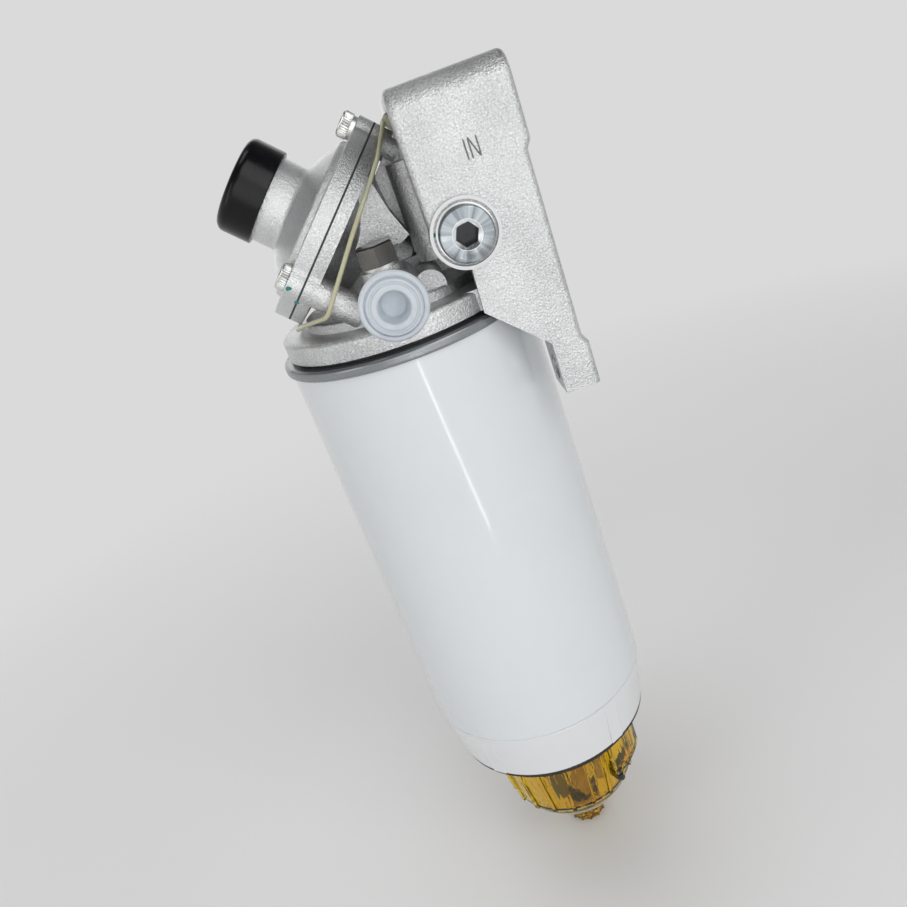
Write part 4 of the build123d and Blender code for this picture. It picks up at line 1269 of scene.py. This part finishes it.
@dataclass
class PortClosures:
    """Plugs with their washers, and the transit caps of the open ports.

    A cap's profile is given as (radius, distance out of the port's face, rounding).
    """

    inlet_x: float = -32.4
    inlet_z: float = 13.9
    outlet_z: float = -1.7
    port_face_y: float = 52.5
    near_plug_y: float = -57.4
    far_plug_y: float = 60.0
    hex_across: float = 8.0
    hex_depth: float = 6.0
    hex_phase: float = 8.8
    cone_r: float = 5.5
    cone_slope: float = 0.85
    flange_r: float = 10.3
    flange_t: float = 6.0
    chamfer: float = 0.9
    chamfer_bulge: tuple[float, float] = (0.55, 0.2)
    shank_r: float = 7.35
    shank_l: float = 13.0
    shank_bevel: float = 1.0
    plug_steps: int = 144
    cap_steps: int = 96
    cap_profile: tuple[Point, ...] = (
        (0.0, -5.4, 0.0),
        (5.0, -5.4, 0.3),
        (6.4, -14.0, 0.2),
        (7.3, -13.9, 0.2),
        (7.35, 0.0, 0.0),
        (13.2, 0.0, 0.3),
        (13.4, 1.6, 0.7),
        (12.5, 2.4, 0.5),
        (11.3, 2.3, 0.2),
        (11.1, 1.7, 0.15),
        (10.7, 1.7, 0.15),
        (10.5, 3.6, 0.35),
        (9.7, 3.9, 0.3),
        (9.3, 3.3, 0.25),
        (8.8, 3.2, 0.2),
        (8.4, 3.9, 0.4),
        (6.3, 3.9, 0.7),
        (5.5, 0.4, 0.5),
        (4.9, -3.4, 0.5),
        (0.0, -3.7, 0.0),
    )

    def _cap(self, x: float, z: float, side: float) -> bpy.types.Mesh:
        """Works out one transit cap: its profile carried round the port's axis.

        Args:
            x: The port's place across.
            z: The port's height.
            side: -1 for a cap on the near face, 1 for one on the far face.

        Returns:
            The cap's mesh.
        """
        spindle = Spindle((x, side * self.port_face_y, z), (0.0, side, 0.0), (1.0, 0.0, 0.0))
        return revolved("cap", rounded(self.cap_profile), spindle, self.cap_steps)

    def _plug(self, x: float, y: float, z: float) -> bpy.types.Mesh:
        """Works out one sealing plug with its countersunk hexagon socket.

        The hexagon's radius at the turn t is (across / 2) / cos(u), where u is t folded into -30 to
        30 degrees about the nearest flat. The countersink falls from its rim at the face to that
        radius by slope times the difference, so that its foot is a row of arcs.

        Args:
            x: The port's place across.
            y: The face's place along the port.
            z: The port's height.

        Returns:
            The plug's mesh.
        """
        spindle = Spindle((x, y, z), (0.0, float(np.sign(y)), 0.0), (1.0, 0.0, 0.0))
        across, side, along = spindle.frame_axes()
        phase = np.radians(self.hex_phase)
        turn = full_turn(self.plug_steps) + phase
        hexagon = 0.5 * self.hex_across / np.cos(np.mod(turn - phase, np.pi / 3) - np.pi / 6)
        edge = self.flange_r - self.chamfer
        foot = -self.flange_t - self.shank_l
        out, down = self.chamfer_bulge
        rows = (
            (0.0, -self.hex_depth),
            (hexagon, -self.hex_depth),
            (hexagon, (hexagon - self.cone_r) * self.cone_slope),
            (self.cone_r, 0.0),
            (edge, 0.0),
            (edge + out * self.chamfer, -down * self.chamfer),
            (self.flange_r, -self.chamfer),
            (self.flange_r, -self.flange_t),
            (self.shank_r, -self.flange_t),
            (self.shank_r, foot + self.shank_bevel),
            (self.shank_r - self.shank_bevel, foot),
            (0.0, foot),
        )
        grid = np.array([np.broadcast_arrays(*row, turn)[:2] for row in rows])
        radius, height = grid[:, 0, :, None], grid[:, 1, :, None]
        spokes = np.cos(turn)[:, None] * across + np.sin(turn)[:, None] * side
        return grid_mesh("plug", np.array(spindle.origin) + radius * spokes + height * along, False, True)

    def build(self) -> None:
        """Dresses the washers, and makes the plugs with countersunk sockets and the caps with rings."""
        zinc = PlugFinish(
            "PlugZinc",
            light=(0.46, 0.49, 0.51),
            dark=(0.15, 0.17, 0.19),
            tint=(0.31, 0.36, 0.36),
            rays=2.2,
            near=(self.inlet_x, 0.0, self.inlet_z),
            far=(CAN_AXIS_X, 0.0, self.outlet_z),
        )
        meshes = (
            self._plug(self.inlet_x, self.near_plug_y, self.inlet_z),
            self._plug(CAN_AXIS_X, self.far_plug_y, self.outlet_z),
        )
        plugs = piece("countersunk_plugs", joined("countersunk_plugs", meshes), "head", zinc)
        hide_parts("port_plugs")
        washer = PlatedFinish("WasherMetal", (0.86, 0.86, 0.85), (0.66, 0.66, 0.65), roughness=0.3)
        dress(washer, "plug_washers", "bleed_washer")
        milky = MouldedFinish(
            "CapPlastic",
            colour=(0.62, 0.67, 0.715),
            shade=(0.52, 0.565, 0.62),
            milk=0.12,
            coat=0.2,
        )
        near, far = self._cap(CAN_AXIS_X, self.outlet_z, -1.0), self._cap(self.inlet_x, self.inlet_z, 1.0)
        caps = piece("moulded_caps", joined("moulded_caps", (near, far)), "head", milky)
        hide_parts("transit_caps")


@dataclass
class BleedScrew:
    """The hexagon bleed screw on the outlet boss."""

    def build(self) -> None:
        """Dresses the screw."""
        steel = PlatedFinish(
            "BleedSteel",
            light=(0.22, 0.215, 0.205),
            dark=(0.06, 0.057, 0.053),
            tint=(0.16, 0.15, 0.135),
        )
        dress(steel, "bleed_screw")


@dataclass
class PrimerPump:
    """The hand primer: cover, gasket, cap screws with knurled heads, knob, piston and spring.

    Each screw's seat is given as its place round the flange, in degrees from the top, and its
    distance outward.
    """

    screw_pitch_r: float = 39.5
    screw_seats: tuple[tuple[float, float], ...] = ((0.0, 7.0), (120.0, 4.6), (240.0, 4.6))
    head_r: float = 5.0
    knurl_low: float = 1.5
    knurl_high: float = 5.3
    knurl_lift: float = 0.34
    knurl_bevel: float = 0.3
    knurl_depth: float = 0.4
    knurl_sink: float = 0.02
    knurl_teeth: int = 36
    tooth_steps: int = 4
    coil: Coil = Coil(radius=9.6, wire=0.9, turns=6)
    floor_s: float = 5.0
    knob_s: float = 39.5
    push: float = 9.0
    dabs: tuple[Dab, ...] = (
        Dab((-101.6, -40.1, 15.5), (-0.28, -0.92, -0.27), radius=1.0, height=0.18, wobble=0.14),
        Dab((-102.3, -30.2, 8.1), (-0.483, -0.738, -0.471), radius=1.2, height=0.18, wobble=0.16),
    )

    def _knurl(self, angle: float, seat: float) -> bpy.types.Mesh:
        """Works out the knurled band round one screw head.

        At the turn t its outer radius is head + lift (0.5 + 0.5 tri(teeth t)) between the band's
        bevels, where tri is the triangle wave from -1 to 1, and its inner radius lies inside the
        head.

        Args:
            angle: The screw's place round the flange, in degrees from the top.
            seat: The distance outward of the screw's seat.

        Returns:
            The band's mesh.
        """
        across, side, along = PUMP_SPINDLE.frame_axes()
        place = np.radians(angle)
        outward = np.cos(place) * across + np.sin(place) * side
        steps = self.knurl_teeth * self.tooth_steps
        turn = np.arange(steps) * 2 * np.pi / steps
        tooth = 2 * np.abs(2 * ((self.knurl_teeth * turn / (2 * np.pi)) % 1.0) - 1.0) - 1.0
        outer = self.head_r + self.knurl_lift * (0.5 + 0.5 * tooth)
        inner = np.full(steps, self.head_r - self.knurl_depth)
        rim = np.full(steps, self.head_r - self.knurl_sink)
        low, high = seat + self.knurl_low, seat + self.knurl_high
        heights = (low, low, low + self.knurl_bevel, high - self.knurl_bevel, high, high)
        radius = np.stack([inner, rim, outer, outer, rim, inner])[..., None]
        height = np.array(heights)[:, None, None]
        spokes = np.cos(turn)[:, None] * across + np.sin(turn)[:, None] * side
        centre = np.array(PUMP_SPINDLE.origin) + self.screw_pitch_r * outward
        return grid_mesh("knurl", centre + radius * spokes + height * along, True, True)

    def _spring(self, finish: Finish) -> None:
        """Adds the return spring between cover and knob.

        Args:
            finish: The spring's finish.
        """
        along = PUMP_SPINDLE.frame_axes()[2]
        foot = np.array(PUMP_SPINDLE.origin) + self.floor_s * along
        start = Spindle(tuple(foot + self.coil.wire * along), PUMP_SPINDLE.along, PUMP_SPINDLE.across)
        room = self.knob_s - self.floor_s
        mesh = self.coil.mesh("return_spring", start, room - 2 * self.coil.wire)
        spring = piece("return_spring", mesh, "head", finish)
        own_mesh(spring)
        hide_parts("pump_spring")

    def build(self) -> None:
        """Dresses the pump's nodes and adds the spring, the knurled bands and the paint dabs."""
        cover = CastFinish(
            "CoverAluminium",
            light=(0.84, 0.845, 0.85),
            dark=(0.58, 0.585, 0.59),
            grain_scale=1700.0,
            roughness=0.3,
            machined=False,
        )
        dress(cover, "pump_cover")
        dress(RubberFinish("SheetGasket", colour=(0.03, 0.03, 0.03)), "pump_gasket")
        zinc = PlatedFinish("ScrewZinc", (0.84, 0.84, 0.82), (0.60, 0.60, 0.58), roughness=0.3)
        dress(zinc, "pump_screws")
        self._spring(zinc)
        bands = joined("screw_knurls", [self._knurl(angle, seat) for angle, seat in self.screw_seats])
        piece("screw_knurls", bands, "head", zinc)
        drops = joined("paint_dabs_pump", [dab.mesh("drop") for dab in self.dabs])
        piece("paint_dabs_pump", drops, "head", MarkerFinish("DabPump"))
        knob = MouldedFinish(
            "KnobBlack",
            colour=(0.003, 0.003, 0.004),
            shade=(0.007, 0.007, 0.009),
            roughness=0.2,
            skin_scale=1500.0,
            skin_depth=0.00006,
            gloss=0.26,
        )
        dress(knob, "pump_knob")
        piston = MouldedFinish("PistonBlack", (0.02, 0.02, 0.02), (0.03, 0.03, 0.03), roughness=0.35)
        dress(piston, "pump_piston")
        dress(RubberFinish("RingRubber"), "piston_ring")


@dataclass
class TieStrap:
    """The thin nylon strap round the pump."""

    def build(self) -> None:
        """Dresses the strap."""
        nylon = MouldedFinish("TieNylon", (0.56, 0.57, 0.39), (0.46, 0.46, 0.30), milk=0.3, coat=0.1)
        dress(nylon, "tie_strap")


@dataclass
class Canister:
    """The white canister with its seam ring and gasket, and the element inside it."""

    def build(self) -> None:
        """Dresses the canister's nodes."""
        dress(RubberFinish("GasketRubber"), "can_gasket", "nipple_grommet")
        ring = TurnedFinish(
            "SeamRingGrey",
            CAN_SPINDLE,
            light=(0.33, 0.345, 0.355),
            dark=(0.22, 0.232, 0.24),
            grain_height=0.3,
            roughness=0.3,
            metallic=0.85,
        )
        dress(ring, "seam_ring")
        dress(EnamelFinish("WhiteEnamel", (0.775, 0.81, 0.83), (0.74, 0.775, 0.80)), "can_shell")
        skirt = EnamelFinish("SkirtEnamel", (0.80, 0.815, 0.825), (0.77, 0.785, 0.80), roughness=0.2)
        dress(skirt, "can_skirt")
        steel = TurnedFinish(
            "SheetSteel", CAN_SPINDLE, (0.60, 0.60, 0.60), (0.48, 0.48, 0.48), grain_height=0.2
        )
        dress(steel, "nut_plate", "centre_tube", "element_top_cap", "element_bottom_cap", "spring_plate")
        dress(PaperFinish("FilterPaper"), "element_media")


@dataclass
class BowlGroup:
    """The clear bowl with its gasket, baffle, sensor plug and drain valve."""

    def build(self) -> None:
        """Dresses the bowl's nodes."""
        dress(RubberFinish("BowlRubber"), "bowl_gasket", "drain_ring")
        dress(ClearFinish("ClearAmber"), "water_bowl")
        drain = ClearFinish("DrainAmber", (0.97, 0.72, 0.12), (0.90, 0.56, 0.05), roughness=0.06)
        dress(drain, "drain_valve")
        dress(BaffleFinish("BaffleBrown"), "water_baffle")
        plug = MouldedFinish("PlugBlack", (0.012, 0.012, 0.012), (0.02, 0.02, 0.02), roughness=0.35)
        dress(plug, "sensor_port_plug")


# Studio


@dataclass(frozen=True)
class Panel:
    """One area lamp.

    Attributes:
        place: Its place, in metres.
        size: Its width and height, in metres.
        power: Its power, in watts.
        turn: Its turn about its aim, in degrees.
        lights_matte: Whether it lights matte surfaces, and not only gloss.
    """

    place: Point
    size: tuple[float, float]
    power: float
    turn: float = 0.0
    lights_matte: bool = True


class Lamp(Enum):
    """The studio's lamps."""

    KEY = Panel((0.50, -0.95, 0.75), (0.8, 0.8), 4.0)
    FRONT = Panel((0.05, -1.10, 0.02), (1.2, 0.8), 3.2)
    SLIM = Panel((-0.038, -0.48, -0.23), (0.016, 0.19), 0.05, turn=22.0, lights_matte=False)
    LEFT = Panel((-0.95, -0.55, 0.35), (0.4, 0.9), 1.3)
    TOP = Panel((-0.15, 0.05, 1.05), (0.5, 0.5), 1.2)
    BACK = Panel((-0.20, 0.95, 0.30), (1.0, 0.8), 1.6)


@dataclass
class Studio:
    """Pale floor, soft lamps, world and the camera at the photograph's angle.

    The camera's place is in millimetres, and its axes are unit vectors.
    """

    floor_z: float = -320.9
    floor_half: float = 4000.0
    floor_colour: Colour = (0.96, 0.96, 0.96)
    floor_shade: float = 0.985
    floor_grain: float = 6.0
    floor_grain_band: Band = (0.3, 0.7)
    floor_roughness: float = 0.7
    pool_start: float = 320.0
    pool_end: float = 900.0
    aim: Point = (-60.0, 0.0, -110.0)
    world_light: float = 0.38
    background: float = 0.70
    zenith: float = 0.10
    dusk: Band = (0.22, 0.70)
    camera_at: Point = (-51.729, -357.459, 59.057)
    forward: Point = (-0.0391939, 0.92541483, -0.37692336)
    right: Point = (0.94093154, -0.09278152, -0.32563694)
    up: Point = (0.33632078, 0.36742207, 0.86711554)
    focal_pixels: float = 828.71
    sensor: float = 36.0
    clip_start: float = 0.01

    def build(self) -> None:
        """Sets the floor, the lamps, the world and the camera."""
        self._floor()
        self._lamps()
        self._world()
        self._camera()
        bpy.context.scene.view_settings.view_transform = "Standard"

    def _seen(self, graph: Graph) -> bpy.types.NodeSocket:
        """Tells what the lens sees from what only lights the object.

        Args:
            graph: The material's or the world's graph.

        Returns:
            1 for what the lens sees straight, in a gloss or through the bowl, and else 0.
        """
        path = graph.add("ShaderNodeLightPath").outputs
        sharp = graph.math("MAXIMUM", path["Is Glossy Ray"], path["Is Transmission Ray"])
        return graph.math("MAXIMUM", path["Is Camera Ray"], sharp)

    def _floor(self) -> None:
        """Adds the floor, whose shading turns to plain background towards its edges."""
        ends = np.array([-self.floor_half, self.floor_half])
        y, x = np.meshgrid(ends, ends, indexing="ij")
        corners = np.stack([x, y, np.full(x.shape, self.floor_z)], axis=-1)
        mesh = grid_mesh("studio_floor", corners, False, False)
        if mesh.polygons[0].normal.z < 0:
            mesh.flip_normals()
        sheet = Sheet("FloorPale")
        graph = sheet.graph
        grain = graph.spread(graph.noise(sheet.place, self.floor_grain, Grit.SOFT), self.floor_grain_band)
        low = tuple(self.floor_shade * value for value in self.floor_colour)
        sheet.set(base_color=graph.blend(grain, low, self.floor_colour), roughness=self.floor_roughness)
        flat = graph.vector_math("MULTIPLY", sheet.place, (1.0, 1.0, 0.0))[0]
        reach = graph.vector_math("LENGTH", flat)["Value"]
        pool = graph.spread(reach, (self.pool_start * MM, self.pool_end * MM))
        plain = graph.add("ShaderNodeEmission", {0: WHITE, 1: self.background}).outputs[0]
        shaders = {0: graph.times(self._seen(graph), pool), 1: sheet.shader.outputs[0], 2: plain}
        graph.feed(sheet.output.inputs[0], graph.add("ShaderNodeMixShader", shaders).outputs[0])
        mesh.materials.append(sheet.material)
        floor = bpy.data.objects.new("studio_floor", mesh)
        bpy.context.scene.collection.objects.link(floor)

    def _lamps(self) -> None:
        """Adds the area lamps, each turned to the object's middle."""
        target = Vector(self.aim) * MM
        for lamp in Lamp:
            panel = lamp.value
            data = bpy.data.lights.new("lamp_" + lamp.name.lower(), "AREA")
            data.shape = "RECTANGLE"
            data.size, data.size_y = panel.size
            data.energy = panel.power
            thing = bpy.data.objects.new(data.name, data)
            thing.location = panel.place
            thing.visible_diffuse = panel.lights_matte
            aimed = (target - Vector(panel.place)).to_track_quat("-Z", "Y")
            turned = aimed @ Quaternion((0.0, 0.0, 1.0), float(np.radians(panel.turn)))
            thing.rotation_euler = turned.to_euler()
            bpy.context.scene.collection.objects.link(thing)

    def _world(self) -> None:
        """Lights the object evenly, and shows the lens and all gloss a pale wall under a dark ceiling.

        The wall's strength falls from background to zenith while the sine of the elevation rises
        through dusk.
        """
        world = bpy.data.worlds.new("StudioWorld")
        world.use_nodes = True
        bpy.context.scene.world = world
        world.node_tree.nodes.clear()
        graph = Graph(world.node_tree)
        plain = graph.add("ShaderNodeBackground", {0: WHITE, 1: self.world_light}).outputs[0]
        rise = graph.split(graph.add("ShaderNodeTexCoord").outputs["Generated"])[2]
        wall = graph.spread(rise, self.dusk, (self.background, self.zenith))
        pale = graph.add("ShaderNodeBackground", {0: WHITE, 1: wall}).outputs[0]
        both = graph.add("ShaderNodeMixShader", {0: self._seen(graph), 1: plain, 2: pale}).outputs[0]
        graph.add("ShaderNodeOutputWorld", {0: both})

    def _camera(self) -> None:
        """Sets the camera at the photograph's place and angle."""
        data = bpy.data.cameras.new("photo_camera")
        data.sensor_width = self.sensor
        data.lens = self.focal_pixels / PHOTO_PIXELS * self.sensor
        data.clip_start = self.clip_start
        thing = bpy.data.objects.new("photo_camera", data)
        turned = Matrix((self.right, self.up, tuple(-v for v in self.forward))).transposed().to_4x4()
        turned.translation = Vector(self.camera_at) * MM
        thing.matrix_world = turned
        bpy.context.scene.collection.objects.link(thing)
        bpy.context.scene.camera = thing


def main() -> None:
    """Builds the sub-assemblies in order, then the studio."""
    logging.basicConfig(level=logging.INFO, format="%(name)s: %(message)s")
    parts = (FilterHead(), PortClosures(), BleedScrew(), PrimerPump(), TieStrap(), Canister(), BowlGroup())
    for part in parts:
        LOG.info("building %s", type(part).__name__)
        part.build()
    Studio().build()


if __name__ == "__main__":
    main()
